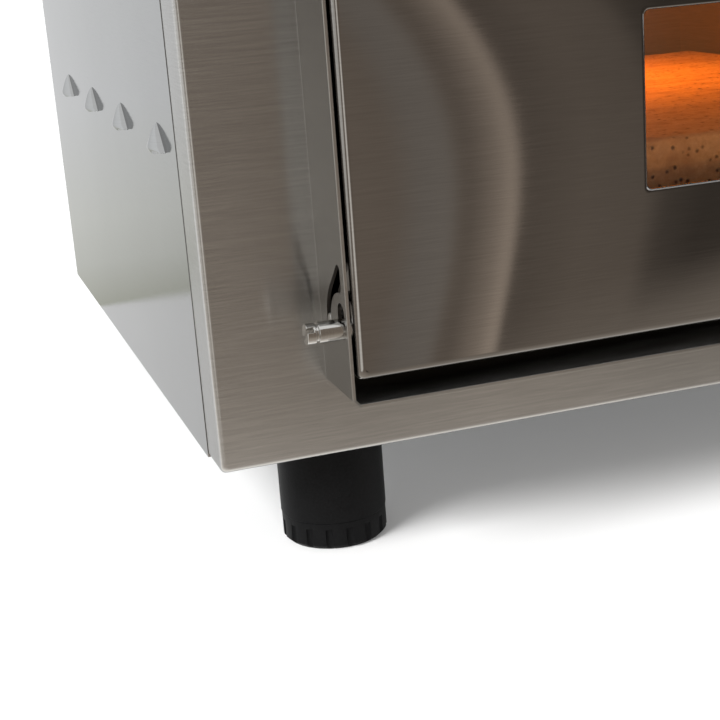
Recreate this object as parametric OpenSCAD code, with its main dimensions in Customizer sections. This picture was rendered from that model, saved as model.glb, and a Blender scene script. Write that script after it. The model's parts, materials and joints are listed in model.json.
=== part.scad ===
// Countertop electric pizza oven with a drop-down door, folded from steel sheet.
// Sizes are in millimetres. Modules work from the body's lower left front corner:
// X runs to the right, Y to the back from the front panel's face, Z up from the underside.

/* [Stone and chamber] */
// Width of the baking stone
stone_w = 350; // [320:5:400]
// Depth of the baking stone
stone_d = 350; // [320:5:400]
// Thickness of the baking stone
stone_t = 25; // [18:1:35]
// Free space on each side of the stone
stone_gap_side = 5; // [3:1:12]
// Free space in front of the stone
stone_gap_front = 11; // [6:1:20]
// Free space behind the stone
stone_gap_back = 19; // [10:1:30]
// Space under the stone for the lower element
stone_lift = 33; // [27:1:45]
// Height from the stone's top to the ceiling
headroom = 101; // [95:1:140]
// Width of the rail leg that carries the stone
rail_w = 15; // [12:1:18]

/* [Sheet and insulation] */
// Thickness of every steel sheet
sheet_t = 1.5; // [1:0.1:2]
// Outer radius of the folded front edges
edge_r = 3; // [2.2:0.1:4]
// Depth of the front panel's returns
return_d = 25; // [18:1:35]
// Open seam between neighbouring panels
seam = 0.6; // [0.3:0.1:1.5]
// Side panel's face outside the front panel's return
side_step = 0.7; // [0.3:0.1:1.5]
// Width of the inner folds that take screws
fold_w = 16; // [12:1:22]
// Insulation under the chamber
wool_floor = 59; // [50:1:80]
// Insulation over the chamber
wool_roof = 42; // [30:1:70]
// Insulation beside the chamber
wool_side = 50; // [35:1:55]
// Insulation behind the chamber
wool_back = 40; // [30:1:60]
// Wiring space between the insulation and the back panel
rear_gap = 24; // [22:1:40]

/* [Front] */
// Left side to the collar's outer face
jamb_w = 51; // [48:1:70]
// Depth of the collar folded forward round the door
collar_d = 38; // [36:1:50]
// Height of the collar's lower ledge above the underside
ledge_z = 34; // [26:1:44]
// Chamber wall to the collar's inner face
mouth_margin = 33.5; // [28:0.5:45]
// Ceiling to the collar's top
mouth_hood = 19; // [15:1:30]
// Width of the control section
control_w = 119; // [110:1:160]
// Slit at the collar's corners
collar_relief = 2; // [1:0.5:3]

/* [Door] */
// Gap between the door and each cheek
door_gap_side = 1.5; // [1:0.1:3]
// Gap under the door
door_gap_low = 10; // [9:1:14]
// Gap over the door
door_gap_top = 4; // [3:0.5:8]
// Door face in front of the collar's edge
door_proud = 0.5; // [0:0.1:2]
// Rear of the door's outer skin in front of the panel
skin_back = 8.4; // [8.4:0.1:10]
// Gap between the closed door and the chamber frame
door_rest_gap = 0.3; // [0.2:0.1:0.8]
// Inset of the inner pan from the outer skin's edges
plug_inset = 20; // [16:1:24]
// Width of the window
win_w = 153; // [100:1:200]
// Height of the window
win_h = 75; // [50:1:85]
// Lower edge of the window under the stone's top
win_drop = 12; // [0:1:14]
// Inner window opening beyond the outer one on every side
win_step = 10; // [0:1:13]
// Thickness of each window pane
glass_t = 4; // [3:0.5:5]
// Overlap of a pane on the inner opening
glass_lap = 10; // [6:1:14]

/* [Hinge] */
// Diameter of the hinge pin
pin_d = 9; // [6:0.5:9.5]
// Radial play of the pin in its seat
pin_play = 0.08; // [0.02:0.01:0.1]
// Pin axis in front of the front panel
pin_forward = 30.5; // [30:0.5:31]
// Pin axis above the collar's ledge
pin_rise = 31.5; // [28:0.5:31.5]
// Length of the pin outside the cheek
pin_out = 16; // [10:0.5:20]
// Upward slot over the pin's seat
pin_lift = 6.5; // [3:0.5:7]
// Radius of the curved stop slot
stop_r = 18; // [17:0.5:18]
// Width of the curved stop slot
stop_w = 8.4; // [7:0.1:9]
// Diameter of the stop peg
peg_d = 5; // [4:0.1:5.4]
// Opening angle of the door
door_swing = 88; // [60:1:89]

/* [Handle] */
// Length of the handle bar
handle_len = 260; // [200:5:340]
// Diameter of the handle bar
handle_d = 22; // [18:1:28]
// Front of the handle bar from the door's face
handle_reach = 55; // [48:1:65]
// Handle axis below the door's top edge
handle_drop = 24; // [20:1:30]
// Diameter of the handle posts
post_d = 12; // [10:1:14]

/* [Louvres] */
// Number of louvres on each side
louvre_n = 4; // [2:1:4]
// Distance between louvres
louvre_pitch = 98; // [80:1:105]
// Centre of the first louvre behind the front
louvre_first = 64; // [56:1:80]
// Lowest point of the louvres above the underside
louvre_z = 134; // [60:1:200]
// Length of a louvre's mouth
louvre_len = 44; // [36:1:56]
// Height of a louvre
louvre_h = 13; // [10:1:20]
// How far a louvre stands out
louvre_out = 5.5; // [4:0.5:9]
// How far a louvre's lower edge bows down
louvre_bow = 4; // [1:0.5:6]

/* [Feet] */
// Diameter of a foot
foot_d = 50; // [40:1:56]
// Height of a foot when screwed in
foot_h = 52; // [44:1:70]
// Height of the fluted ring
ring_h = 13; // [10:1:18]
// Foot axis from the body's side
foot_in_x = 60; // [45:1:62]
// Foot axis from the front and the back
foot_in_y = 38; // [36:1:48]
// Levelling travel
foot_travel = 12; // [6:1:16]
// Diameter of the threaded stem
stem_d = 10; // [8:1:12]
// Flutes round the ring
flutes = 16; // [12:1:24]

/* [Controls] */
// Top knob axis below the body's top
knob_drop = 81; // [70:1:90]
// Distance between the knobs
knob_pitch = 75; // [70:1:85]
// Diameter of a knob's skirt
knob_d = 48; // [40:1:54]
// Height of a knob
knob_h = 24; // [20:1:30]
// Gap between a knob and the panel
knob_gap = 2; // [1:0.5:4]
// Diameter of a thermostat's shaft
shaft_d = 6; // [5:0.5:8]
// Width and height of a thermostat
thermo_w = 44; // [38:1:48]
// Depth of a thermostat
thermo_d = 34; // [28:1:40]
// Pilot lamp above its knob
pilot_up = 37; // [34:1:38]
// Diameter of a pilot lamp's bezel
pilot_d = 13; // [11:1:15]
// Switch axis above the underside
switch_z = 50; // [40:1:56]
// Distance between the two switches
switch_pitch = 44; // [36:1:52]
// Width of a switch's rocker
rocker_w = 15; // [12:1:18]
// Height of a switch's rocker
rocker_h = 22; // [18:1:24]
// Throw of a rocker
rocker_throw = 20; // [10:1:24]

/* [Heating] */
// Diameter of the heating tube
tube_d = 8; // [6:0.5:9]
// Distance between the legs of an element
leg_pitch = 100; // [80:1:104]
// Element's front bend from the chamber's front
leg_front = 27; // [20:1:40]
// Upper element below the ceiling
upper_drop = 18; // [14:1:26]
// Lower element above the chamber floor
lower_rise = 12; // [11:1:16]
// Diameter of the lamp holder
lamp_d = 40; // [32:1:46]

/* [Inlet] */
// Bore of the cable gland
gland_bore = 10; // [7:0.5:12]
// Length of the gland outside the back panel
gland_out = 22; // [16:1:30]

/* [Hidden] */
$fn = 48;
t = sheet_t;
cut = 1;
slip = 0.05;
hole_play = 0.3;
screw_d = 4;
head_d = 7.5;
head_h = 2.2;
screw_len = 8;

chamber_w = stone_w + 2 * stone_gap_side;
chamber_d = stone_gap_front + stone_d + stone_gap_back;
open_x0 = jamb_w + t;
open_x1 = open_x0 + chamber_w + 2 * mouth_margin;
mid_x = (open_x0 + open_x1) / 2;
body_w = open_x1 + t + control_w;
floor_z = t + wool_floor + t;
stone_z0 = floor_z + stone_lift;
stone_z1 = stone_z0 + stone_t;
ceil_z = stone_z1 + headroom;
body_h = ceil_z + t + wool_roof + t;
open_z0 = ledge_z;
open_z1 = ceil_z + mouth_hood;
cav_x0 = mid_x - chamber_w / 2;
cav_x1 = mid_x + chamber_w / 2;
cav_y0 = 2 * t;
cav_y1 = cav_y0 + chamber_d;
wool_y1 = cav_y1 + t + wool_back;
body_d = wool_y1 + rear_gap + t;
panel_y0 = return_d + seam;
sill_z = stone_z0 - 1;
lintel_z = ceil_z - 6;

door_x0 = open_x0 + door_gap_side;
door_x1 = open_x1 - door_gap_side;
door_z0 = open_z0 + door_gap_low;
door_z1 = open_z1 - door_gap_top;
door_y0 = -collar_d - door_proud;
skin_y1 = -skin_back;
plug_y1 = t - door_rest_gap;
pin_y = -pin_forward;
pin_z = open_z0 + pin_rise;
plug_z0 = pin_z + 2.5;
lip_w = 12;
plug_z1 = door_z1 - lip_w;
win_x0 = mid_x - win_w / 2;
win_x1 = mid_x + win_w / 2;
win_z0 = stone_z1 - win_drop;
win_z1 = win_z0 + win_h;
spacer_t = t;
pane_grow = win_step + glass_lap;
peg_a = 1.5;
stop_play = 0.3;
end_extra = 0.05;
slot_end = ((stop_w - peg_d) / 2 - stop_play) / stop_r * 180 / PI;
slot_a0 = peg_a + slot_end;
slot_a1 = peg_a + door_swing - slot_end;
block_l = 18;
handle_z = door_z1 - handle_drop;
handle_y = door_y0 - handle_reach + handle_d / 2;
post_x = [mid_x - handle_len / 2 + handle_d, mid_x + handle_len / 2 - handle_d];
handle_screw_d = 5;
handle_head_d = 10;
handle_head_h = 3;
handle_screw_in = 12;

control_x = (open_x1 + t + body_w) / 2;
knob_z = [body_h - knob_drop, body_h - knob_drop - knob_pitch];
neck_d = shaft_d + 4;
shaft_in = 20;
shaft_out = knob_gap + knob_h - 4;
thermo_screw_x = thermo_w / 2 - 8;
thermo_screw_d = 3.4;
thermo_head_d = 6;
thermo_head_h = 1;
pilot_len = 26;
pilot_body_d = pilot_d - 4;
rocker_play = 1;
bezel_rim = 3.5;
bezel_t = 2;
switch_body_w = rocker_w + 6;
switch_body_h = rocker_h + 8;
switch_len = 26;
rocker_pivot_y = 4;
rocker_pivot_d = 3;
rocker_reach = 8;
rocker_depth = 5;

leg_x = [for (i = [0 : 3]) mid_x + (i - 1.5) * leg_pitch];
bend_r = leg_pitch / 2;
bend_front_y = cav_y0 + leg_front + bend_r;
bend_back_y = cav_y1 - leg_front - bend_r + 4;
upper_z = ceil_z - upper_drop;
lower_z = floor_z + lower_rise;
tail_y1 = wool_y1 + 8;
stud_len = 10;
stud_d = 4;
bush_d = tube_d + 6;
strap_in = bend_r + 5;
strap_y = [bend_front_y + strap_in, bend_back_y - strap_in];
strap_t = 2;
strap_half = 1.5 * leg_pitch + 14;
strap_edge = tube_d / 2 + 3;
foot_strip_w = 16;

wool_side_y0 = foot_in_y + 17;
wool_side_y1 = body_d - foot_in_y - 17;
wool_left_x0 = cav_x0 - t - wool_side;
wool_right_x1 = cav_x1 + t + wool_side;
part_x = wool_right_x1;
part_y0 = wool_side_y0 - 5;
lamp_y = (cav_y0 + cav_y1) / 2;
lamp_z = stone_z1 + headroom / 2;
lamp_flange_d = lamp_d + 12;
lamp_flange_t = 2;
lamp_wall = 3;
lamp_x1 = part_x + 12;
bulb_d = 12;
probe_d = 4.4;
probe_len = 90;
capillary_d = 2;
probe_y = wool_side_y0 + 15;
probe_z = [upper_z - 10, floor_z + 4];
capillary_x = part_x + 11;
capillary_y = t + thermo_d / 2;
wire_d = 6;
branch_d = 4;
wire_y = t + thermo_d + 20;
gland_x = control_x + 5;
gland_z = 34;
gland_d = gland_bore + 10;
gland_nut_h = 6;
term_z = 80;
term_w = 50;
term_d = 20;
term_h = 26;

foot_x = [foot_in_x, body_w - foot_in_x];
foot_y = [foot_in_y, body_d - foot_in_y];
stem_len = foot_travel + 20;
bolt_d = 8;
bolt_in = 6;

delta = atan(louvre_out / louvre_h);
gamma = atan(louvre_len / 2 / louvre_h);
tilt = atan((cos(delta) - cos(gamma)) / sin(delta));
cone_a = tilt + delta;
bow_r = (pow(louvre_len / 2, 2) + pow(louvre_bow, 2)) / (2 * louvre_bow);

front_y = door_y0 - handle_reach;
back_y = body_d + gland_out;
mid_y = (front_y + back_y) / 2;

screw_margin = 45;
cover_screw_pitch = (body_d - panel_y0 - 2 * screw_margin) / 2;
cover_screw_y = [for (i = [0 : 2]) panel_y0 + screw_margin + i * cover_screw_pitch];
fold_mid = t + (fold_w - t) / 2;
side_screw_x = [fold_mid, body_w - fold_mid];
back_screw_z = [for (i = [0 : 2]) screw_margin + i * (body_h - 2 * screw_margin) / 2];
door_screw_x = [for (i = [0 : 3]) door_x0 + screw_margin + i * (door_x1 - door_x0 - 2 * screw_margin) / 3];
door_screw_in = 6.5;
door_screw_z = [door_z0 + door_screw_in, door_z1 - door_screw_in];
door_head_d = 4.4;
tongue_x0 = side_step + t;
tongue_y0 = 8;
tongue_in = 15;
tongue_end = 30;

steel = "silver";
front_steel = "dimgray";
dark = "darkslategray";
black = "#181818";
wool = "khaki";

// Moves the body's corner so that the whole oven stands centred on the origin
module place() translate([-body_w / 2, -mid_y, foot_h]) children();

// Box between two corners
module block(lo, hi) translate(lo) cube(hi - lo);

// Round bars along the three axes
module rod_x(from, d, len) translate(from) rotate([0, 90, 0]) cylinder(d = d, h = len);
module rod_y(from, d, len) translate(from) rotate([-90, 0, 0]) cylinder(d = d, h = len);
module rod_z(from, d, len) translate(from) cylinder(d = d, h = len);

// Rectangle whose two front corners are round
module front_round(lo, hi, r) {
    translate([lo.x, lo.y + r]) square([hi.x - lo.x, hi.y - lo.y - r]);
    translate([lo.x + r, lo.y]) square([hi.x - lo.x - 2 * r, 2 * r]);
    for (u = [lo.x + r, hi.x - r]) translate([u, lo.y + r]) circle(r);
}

// Box whose front edges are round, as a folded pan has them
module soft_front(lo, hi, r) intersection() {
    translate([0, 0, lo.z]) linear_extrude(hi.z - lo.z) front_round([lo.x, lo.y], [hi.x, hi.y], r);
    translate([hi.x, 0, 0]) rotate([0, -90, 0]) linear_extrude(hi.x - lo.x)
        front_round([lo.z, lo.y], [hi.z, hi.y], r);
}

// Folded pan, open at the back
module pan(lo, hi) difference() {
    soft_front(lo, hi, edge_r);
    soft_front([lo.x + t, lo.y + t, lo.z + t], [hi.x - t, hi.y + cut, hi.z - t], max(edge_r - t, 0.2));
}

// Panhead screw whose head stands on the origin and whose shank runs along -Z
module screw() {
    cylinder(d = head_d, h = head_h);
    translate([0, 0, -screw_len]) cylinder(d = screw_d - 2 * hole_play, h = screw_len + cut);
}

// Seat and curved stop slot of the hinge, cut through a cheek whose outer face is at x.
// Round ends are a hair wider than their slots, so that their walls cross cleanly.
module hinge_slots(x) translate([x - cut, pin_y, pin_z]) rotate([90, 0, 90]) {
    seat = pin_d + 2 * pin_play;
    deep = t + 2 * cut;
    cylinder(d = seat, h = deep);
    translate([-seat / 2 + end_extra, 0, 0]) cube([seat - 2 * end_extra, pin_lift, deep]);
    translate([0, pin_lift, 0]) cylinder(d = seat, h = deep);
    rotate([0, 0, slot_a0]) rotate_extrude(angle = slot_a1 - slot_a0)
        translate([stop_r - stop_w / 2, 0]) square([stop_w, deep]);
    for (a = [slot_a0, slot_a1]) rotate([0, 0, a])
        translate([stop_r, 0, 0]) cylinder(d = stop_w + 2 * end_extra, h = deep);
}

// Flanges folded forward from the edges of the door opening
module collar() {
    for (x = [open_x0 - t, open_x1])
        block([x, -collar_d, open_z0 + collar_relief], [x + t, t, open_z1 - collar_relief]);
    for (z = [open_z0 - t, open_z1])
        block([open_x0 + collar_relief, -collar_d, z], [open_x1 - collar_relief, t, z + t]);
}

module switch_cutout(x) {
    w = switch_body_w + 2 * hole_play;
    h = switch_body_h + 2 * hole_play;
    block([x - w / 2, -cut, switch_z - h / 2], [x + w / 2, t + cut, switch_z + h / 2]);
}

module front_panel() color(front_steel) difference() {
    union() {
        difference() {
            pan([side_step, 0, 0], [body_w - side_step, return_d, body_h]);
            block([open_x0, -cut, open_z0], [open_x1, t + cut, open_z1]);
        }
        collar();
    }
    hinge_slots(open_x0 - t);
    hinge_slots(open_x1);
    for (z = knob_z) {
        rod_y([control_x, -cut, z], neck_d + 2 * hole_play, t + 2 * cut);
        rod_y([control_x, -cut, z + pilot_up], pilot_body_d + 2 * hole_play, t + 2 * cut);
        for (s = [-1, 1])
            rod_y([control_x + s * thermo_screw_x, -cut, z], thermo_screw_d + 2 * hole_play, t + 2 * cut);
    }
    for (s = [-1, 1]) switch_cutout(control_x + s * switch_pitch / 2);
}

// Solid cone of a louvre with its point on the panel, shifted inward for its inner wall
module louvre_cone(inward) {
    big = 4 * louvre_len;
    rotate([0, 180 - tilt, 0]) translate([0, 0, inward / sin(cone_a)])
        cylinder(r1 = 0, r2 = big * tan(cone_a), h = big);
}

// Outer form or inner hollow of one louvre on the left panel
module louvre(y, inward) {
    top = louvre_z + louvre_h;
    half = louvre_len / 2 + cut;
    x0 = -louvre_out - cut;
    x1 = t + inward;
    intersection() {
        translate([0, y, top]) louvre_cone(inward);
        block([x0, y - half, louvre_z - cut], [x1, y + half, top + cut]);
        rod_x([x0 - cut, y, louvre_z + bow_r], 2 * bow_r, x1 - x0 + 2 * cut);
    }
}

module side_panel() difference() {
    union() {
        block([0, panel_y0, 0], [t, body_d, body_h]);
        block([0, panel_y0 + tongue_in, body_h - 2 * t], [fold_w, body_d - 2 * t, body_h - t]);
        block([0, panel_y0 + tongue_in, t], [fold_w, body_d - 2 * t, 2 * t]);
        block([0, body_d - 2 * t, t], [fold_w, body_d - t, body_h - t]);
        block([tongue_x0, tongue_y0, tongue_end], [tongue_x0 + t, panel_y0 + cut, body_h - tongue_end]);
        block([t / 2, panel_y0, tongue_end], [tongue_x0 + t, panel_y0 + tongue_in, body_h - tongue_end]);
        for (i = [0 : louvre_n - 1]) louvre(louvre_first + i * louvre_pitch, 0);
    }
    for (i = [0 : louvre_n - 1]) louvre(louvre_first + i * louvre_pitch, t);
    for (y = cover_screw_y) rod_z([fold_mid, y, -cut], screw_d, body_h + 2 * cut);
    for (z = back_screw_z) rod_y([fold_mid, body_d - 3 * t, z], screw_d, 4 * t);
}

module left_side_panel() color(steel) side_panel();

module right_side_panel() color(steel) translate([body_w, 0, 0]) mirror([1, 0, 0]) side_panel();

module top_cover() color(steel) difference() {
    union() {
        block([t, panel_y0, body_h - t], [body_w - t, body_d - t, body_h]);
        block([tongue_end, tongue_y0, body_h - 2 * t], [body_w - tongue_end, panel_y0 + cut, body_h - t]);
        block([tongue_end, panel_y0, body_h - 2 * t],
              [body_w - tongue_end, panel_y0 + tongue_in, body_h - t / 2]);
    }
    for (x = side_screw_x, y = cover_screw_y) rod_z([x, y, body_h - 3 * t], screw_d, 4 * t);
}

// Row of upright vent slots in the back panel
module back_vents() {
    slot_w = 5;
    slot_h = 40;
    pitch = 16;
    count = floor((open_x1 - open_x0 - 120) / pitch);
    for (i = [0 : count - 1]) {
        x = open_x0 + 60 + i * pitch;
        z = body_h / 2;
        block([x - slot_w / 2, body_d - 2 * t, z - slot_h / 2],
              [x + slot_w / 2, body_d + cut, z + slot_h / 2]);
        for (s = [-1, 1]) rod_y([x, body_d - 2 * t, z + s * slot_h / 2], slot_w, 3 * t);
    }
}

module back_panel() color(steel) difference() {
    block([t, body_d - t, 0], [body_w - t, body_d, body_h]);
    back_vents();
    rod_y([gland_x, body_d - 2 * t, gland_z], gland_d - 6 + 2 * hole_play, 4 * t);
    for (x = side_screw_x, z = back_screw_z) rod_y([x, body_d - 2 * t, z], screw_d, 4 * t);
}

module base_pan() color(steel) difference() {
    union() {
        block([t, panel_y0, 0], [body_w - t, body_d - t, t]);
        block([foot_in_x + tongue_end, tongue_y0, t],
              [body_w - foot_in_x - tongue_end, panel_y0 + cut, 2 * t]);
        block([foot_in_x + tongue_end, panel_y0, t / 2],
              [body_w - foot_in_x - tongue_end, panel_y0 + tongue_in, 2 * t]);
    }
    for (x = foot_x, y = foot_y) rod_z([x, y, -cut], bolt_d + 2 * hole_play, t + 2 * cut);
    for (x = side_screw_x, y = cover_screw_y) rod_z([x, y, -cut], screw_d, t + 2 * cut);
}

// Plate behind the door opening that leaves only the chamber's mouth free
module mouth_frame() color(dark) difference() {
    block([open_x0 - lip_w, t, open_z0 - lip_w], [open_x1 + lip_w, 2 * t, open_z1 + lip_w]);
    block([cav_x0, t - cut, sill_z], [cav_x1, 2 * t + cut, lintel_z]);
}

module chamber_liner() color(dark) difference() {
    block([cav_x0 - t, cav_y0, floor_z - t], [cav_x1 + t, cav_y1 + t, ceil_z + t]);
    block([cav_x0, cav_y0 - cut, floor_z], [cav_x1, cav_y1, ceil_z]);
    for (x = [leg_x[0], leg_x[3]], z = [upper_z, lower_z])
        rod_y([x, cav_y1 - cut, z], bush_d + 2 * slip, t + 2 * cut);
    for (z = probe_z) rod_x([cav_x1 - cut, probe_y, z], capillary_d + 2 * hole_play, t + 2 * cut);
    rod_x([cav_x1 - cut, lamp_y, lamp_z], lamp_d + 2 * hole_play, t + 2 * cut);
}

module stone_rails() color(dark) for (s = [0, 1]) {
    wall_x = s == 0 ? cav_x0 : cav_x1 - t;
    leg_x0 = s == 0 ? cav_x0 : cav_x1 - rail_w;
    y0 = cav_y0 + stone_gap_front;
    block([wall_x, y0, stone_z0 - rail_w], [wall_x + t, y0 + stone_d, stone_z0]);
    block([leg_x0, y0, stone_z0 - t], [leg_x0 + rail_w, y0 + stone_d, stone_z0]);
}

module baking_stone() color("tan")
    block([mid_x - stone_w / 2, cav_y0 + stone_gap_front, stone_z0],
          [mid_x + stone_w / 2, cav_y0 + stone_gap_front + stone_d, stone_z1]);

// Half turn of heating tube; side is 1 towards the back and -1 towards the front
module tube_bend(x, y, z, side) translate([x, y, z]) rotate([0, 0, side > 0 ? 0 : 180])
    rotate_extrude(angle = 180) translate([bend_r, 0]) circle(d = tube_d);

module element(z) {
    for (x = [leg_x[0], leg_x[3]]) {
        rod_y([x, bend_front_y, z], tube_d, tail_y1 - bend_front_y);
        rod_y([x, tail_y1 - cut, z], stud_d, stud_len + cut);
    }
    for (x = [leg_x[1], leg_x[2]]) rod_y([x, bend_front_y, z], tube_d, bend_back_y - bend_front_y);
    tube_bend((leg_x[0] + leg_x[1]) / 2, bend_front_y, z, -1);
    tube_bend((leg_x[2] + leg_x[3]) / 2, bend_front_y, z, -1);
    tube_bend(mid_x, bend_back_y, z, 1);
}

module upper_element() color("saddlebrown") element(upper_z);

module lower_element() color("saddlebrown") element(lower_z);

// Strip with a hole for each leg, held by two ears at height ear_z
module strap(y, z, ear_z) difference() {
    union() {
        block([mid_x - strap_half, y, z - strap_edge], [mid_x + strap_half, y + strap_t, z + strap_edge]);
        for (s = [-1, 1]) {
            x = mid_x + s * leg_pitch;
            block([x - foot_strip_w / 2, y, min(z, ear_z)],
                  [x + foot_strip_w / 2, y + strap_t, max(z, ear_z)]);
        }
    }
    for (x = leg_x) rod_y([x, y - cut, z], tube_d + 2 * hole_play, strap_t + 2 * cut);
}

module element_straps() color(dark) for (y = strap_y) {
    strap(y, upper_z, ceil_z);
    strap(y, lower_z, floor_z);
}

module element_bushes() color("ivory") for (x = [leg_x[0], leg_x[3]], z = [upper_z, lower_z]) difference() {
    rod_y([x, cav_y1 - 2, z], bush_d, t + 8);
    rod_y([x, cav_y1 - 2 - cut, z], tube_d + 2 * slip, t + 8 + 2 * cut);
}

module wool_top() color(wool)
    block([wool_left_x0, panel_y0 + tongue_in + cut, ceil_z + t], [wool_right_x1, wool_y1, body_h - t]);

module wool_bottom() color(wool)
    block([cav_x0 - t, panel_y0 + tongue_in + cut, t], [cav_x1 + t, cav_y1 + t, floor_z - t]);

module wool_left() color(wool)
    block([wool_left_x0, wool_side_y0, t], [cav_x0 - t, wool_side_y1, ceil_z + t]);

module wool_right() color(wool) difference() {
    block([cav_x1 + t, wool_side_y0, t], [wool_right_x1, wool_side_y1, ceil_z + t]);
    rod_x([cav_x1, lamp_y, lamp_z], lamp_d + 2 * hole_play, wool_side + 2 * t);
    for (z = probe_z) rod_x([cav_x1, probe_y, z], capillary_d + 2 * hole_play, wool_side + 2 * t);
}

module wool_rear() color(wool) difference() {
    block([cav_x0 - t, cav_y1 + t, t], [cav_x1 + t, wool_y1, ceil_z + t]);
    for (x = [leg_x[0], leg_x[3]], z = [upper_z, lower_z])
        rod_y([x, cav_y1, z], bush_d + 2 * hole_play, wool_back + 2 * t);
}

module control_partition() color(steel) difference() {
    union() {
        block([part_x, part_y0, t], [part_x + t, body_d - t, body_h - t]);
        block([part_x, part_y0, t], [part_x + fold_w, body_d - t, 2 * t]);
    }
    rod_x([part_x - cut, lamp_y, lamp_z], lamp_d + 2 * hole_play, t + 2 * cut);
    for (z = probe_z) rod_x([part_x - cut, probe_y, z], capillary_d + 2 * hole_play, t + 2 * cut);
}

module thermostat(z) difference() {
    union() {
        block([control_x - thermo_w / 2, t, z - thermo_w / 2],
              [control_x + thermo_w / 2, t + thermo_d, z + thermo_w / 2]);
        rod_y([control_x, -cut, z], neck_d, t + 2 * cut);
    }
    rod_y([control_x, -2 * cut, z], shaft_d + 2 * slip, t + shaft_in + 2 * cut + slip);
    for (s = [-1, 1])
        rod_y([control_x + s * thermo_screw_x, t - cut, z], thermo_screw_d + 2 * slip, screw_len);
}

module top_thermostat() color("gray") thermostat(knob_z[0]);

module bottom_thermostat() color("gray") thermostat(knob_z[1]);

module shaft(z) rod_y([control_x, -shaft_out, z], shaft_d, shaft_out + t + shaft_in);

module top_shaft() color(steel) shaft(knob_z[0]);

module bottom_shaft() color(steel) shaft(knob_z[1]);

// Tube of diameter d along a list of points, with round joints between its straight runs
module pipe(points, d) {
    last = len(points) - 1;
    for (i = [0 : last - 1]) {
        run = points[i + 1] - points[i];
        translate(points[i]) rotate([0, acos(run.z / norm(run)), atan2(run.y, run.x)])
            cylinder(d = d, h = norm(run));
    }
    for (i = [1 : 1 : last - 1]) translate(points[i]) sphere(d = d);
}

// Sensing bulb in the chamber and its capillary to the thermostat
module probe(i) {
    plug_z = i == 0 ? probe_z[0] : knob_z[1] - thermo_w / 4;
    bulb_x1 = cav_x1 - 4;
    rod_x([bulb_x1 - probe_len, probe_y, probe_z[i]], probe_d, probe_len);
    wall_end = [capillary_x, probe_y, probe_z[i]];
    riser = i == 0 ? [] : [[capillary_x, probe_y, plug_z]];
    front_end = [capillary_x, capillary_y, plug_z];
    pipe(concat([[bulb_x1 - cut, probe_y, probe_z[i]], wall_end], riser,
                [front_end, [control_x - thermo_w / 2, capillary_y, plug_z]]), capillary_d);
}

module top_probe() color("peru") probe(0);

module bottom_probe() color("peru") probe(1);

module knob(z) translate([control_x, -knob_gap, z]) rotate([90, 0, 0]) difference() {
    skirt_h = 5;
    grip_d = knob_d - 10;
    grip_t = 9;
    union() {
        cylinder(d1 = knob_d, d2 = knob_d - 2, h = skirt_h);
        cylinder(d = grip_d, h = knob_h - 8);
        translate([-grip_t / 2, -grip_d / 2, 0]) cube([grip_t, grip_d, knob_h]);
    }
    translate([0, 0, -cut]) cylinder(d = shaft_d + 2 * slip, h = knob_h - 4 + cut + slip);
}

module top_knob() color(black) knob(knob_z[0]);

module bottom_knob() color(black) knob(knob_z[1]);

module pilot(z) {
    bezel_h = 2;
    rod_y([control_x, -bezel_h, z + pilot_up], pilot_d, bezel_h);
    rod_y([control_x, -cut, z + pilot_up], pilot_body_d, pilot_len);
    intersection() {
        translate([control_x, -bezel_h + 2, z + pilot_up]) sphere(d = pilot_body_d);
        rod_y([control_x, -bezel_h - pilot_d, z + pilot_up], pilot_d, pilot_d + 1);
    }
}

module top_pilot() color("orange") pilot(knob_z[0]);

module bottom_pilot() color("orange") pilot(knob_z[1]);

// Switch housing with a pocket and a pivot hole for its rocker
module switch_body(x) difference() {
    rim_w = switch_body_w + bezel_rim;
    rim_h = switch_body_h + bezel_rim;
    pocket_w = rocker_w + rocker_play;
    pocket_h = rocker_h + 4;
    union() {
        block([x - rim_w / 2, -bezel_t, switch_z - rim_h / 2], [x + rim_w / 2, 0, switch_z + rim_h / 2]);
        block([x - switch_body_w / 2, -cut, switch_z - switch_body_h / 2],
              [x + switch_body_w / 2, switch_len, switch_z + switch_body_h / 2]);
    }
    block([x - pocket_w / 2, -bezel_t - cut, switch_z - pocket_h / 2],
          [x + pocket_w / 2, rocker_pivot_y + 10, switch_z + pocket_h / 2]);
    rod_x([x - pocket_w / 2 - 2, rocker_pivot_y, switch_z], rocker_pivot_d + 2 * slip, pocket_w + 4);
}

// Rocker with two sloping faces, tilted to its off side
module rocker(x) translate([x, rocker_pivot_y, switch_z]) {
    stub = rocker_play / 2 + 1.5;
    rotate([-rocker_throw / 2, 0, 0]) translate([-rocker_w / 2, 0, 0]) rotate([90, 0, 90])
        linear_extrude(rocker_w) polygon([
            [-rocker_reach, -rocker_h / 2], [-rocker_depth, 0], [-rocker_reach, rocker_h / 2],
            [-1, rocker_h / 2], [3, 0], [-1, -rocker_h / 2]
        ]);
    rod_x([-rocker_w / 2 - stub, 0, 0], rocker_pivot_d, rocker_w + 2 * stub);
}

module main_switch_body() color(black) switch_body(control_x - switch_pitch / 2);

module main_switch_rocker() color("darkred") rocker(control_x - switch_pitch / 2);

module lamp_switch_body() color(black) switch_body(control_x + switch_pitch / 2);

module lamp_switch_rocker() color(black) rocker(control_x + switch_pitch / 2);

module lamp_holder() color("ivory") difference() {
    union() {
        rod_x([cav_x1 - lamp_flange_t, lamp_y, lamp_z], lamp_flange_d, lamp_flange_t);
        rod_x([cav_x1 - cut, lamp_y, lamp_z], lamp_d, lamp_x1 - cav_x1 + cut);
    }
    rod_x([cav_x1 - lamp_flange_t - cut, lamp_y, lamp_z], lamp_d - 2 * lamp_wall,
          lamp_x1 - cav_x1 - lamp_wall + cut);
}

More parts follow.
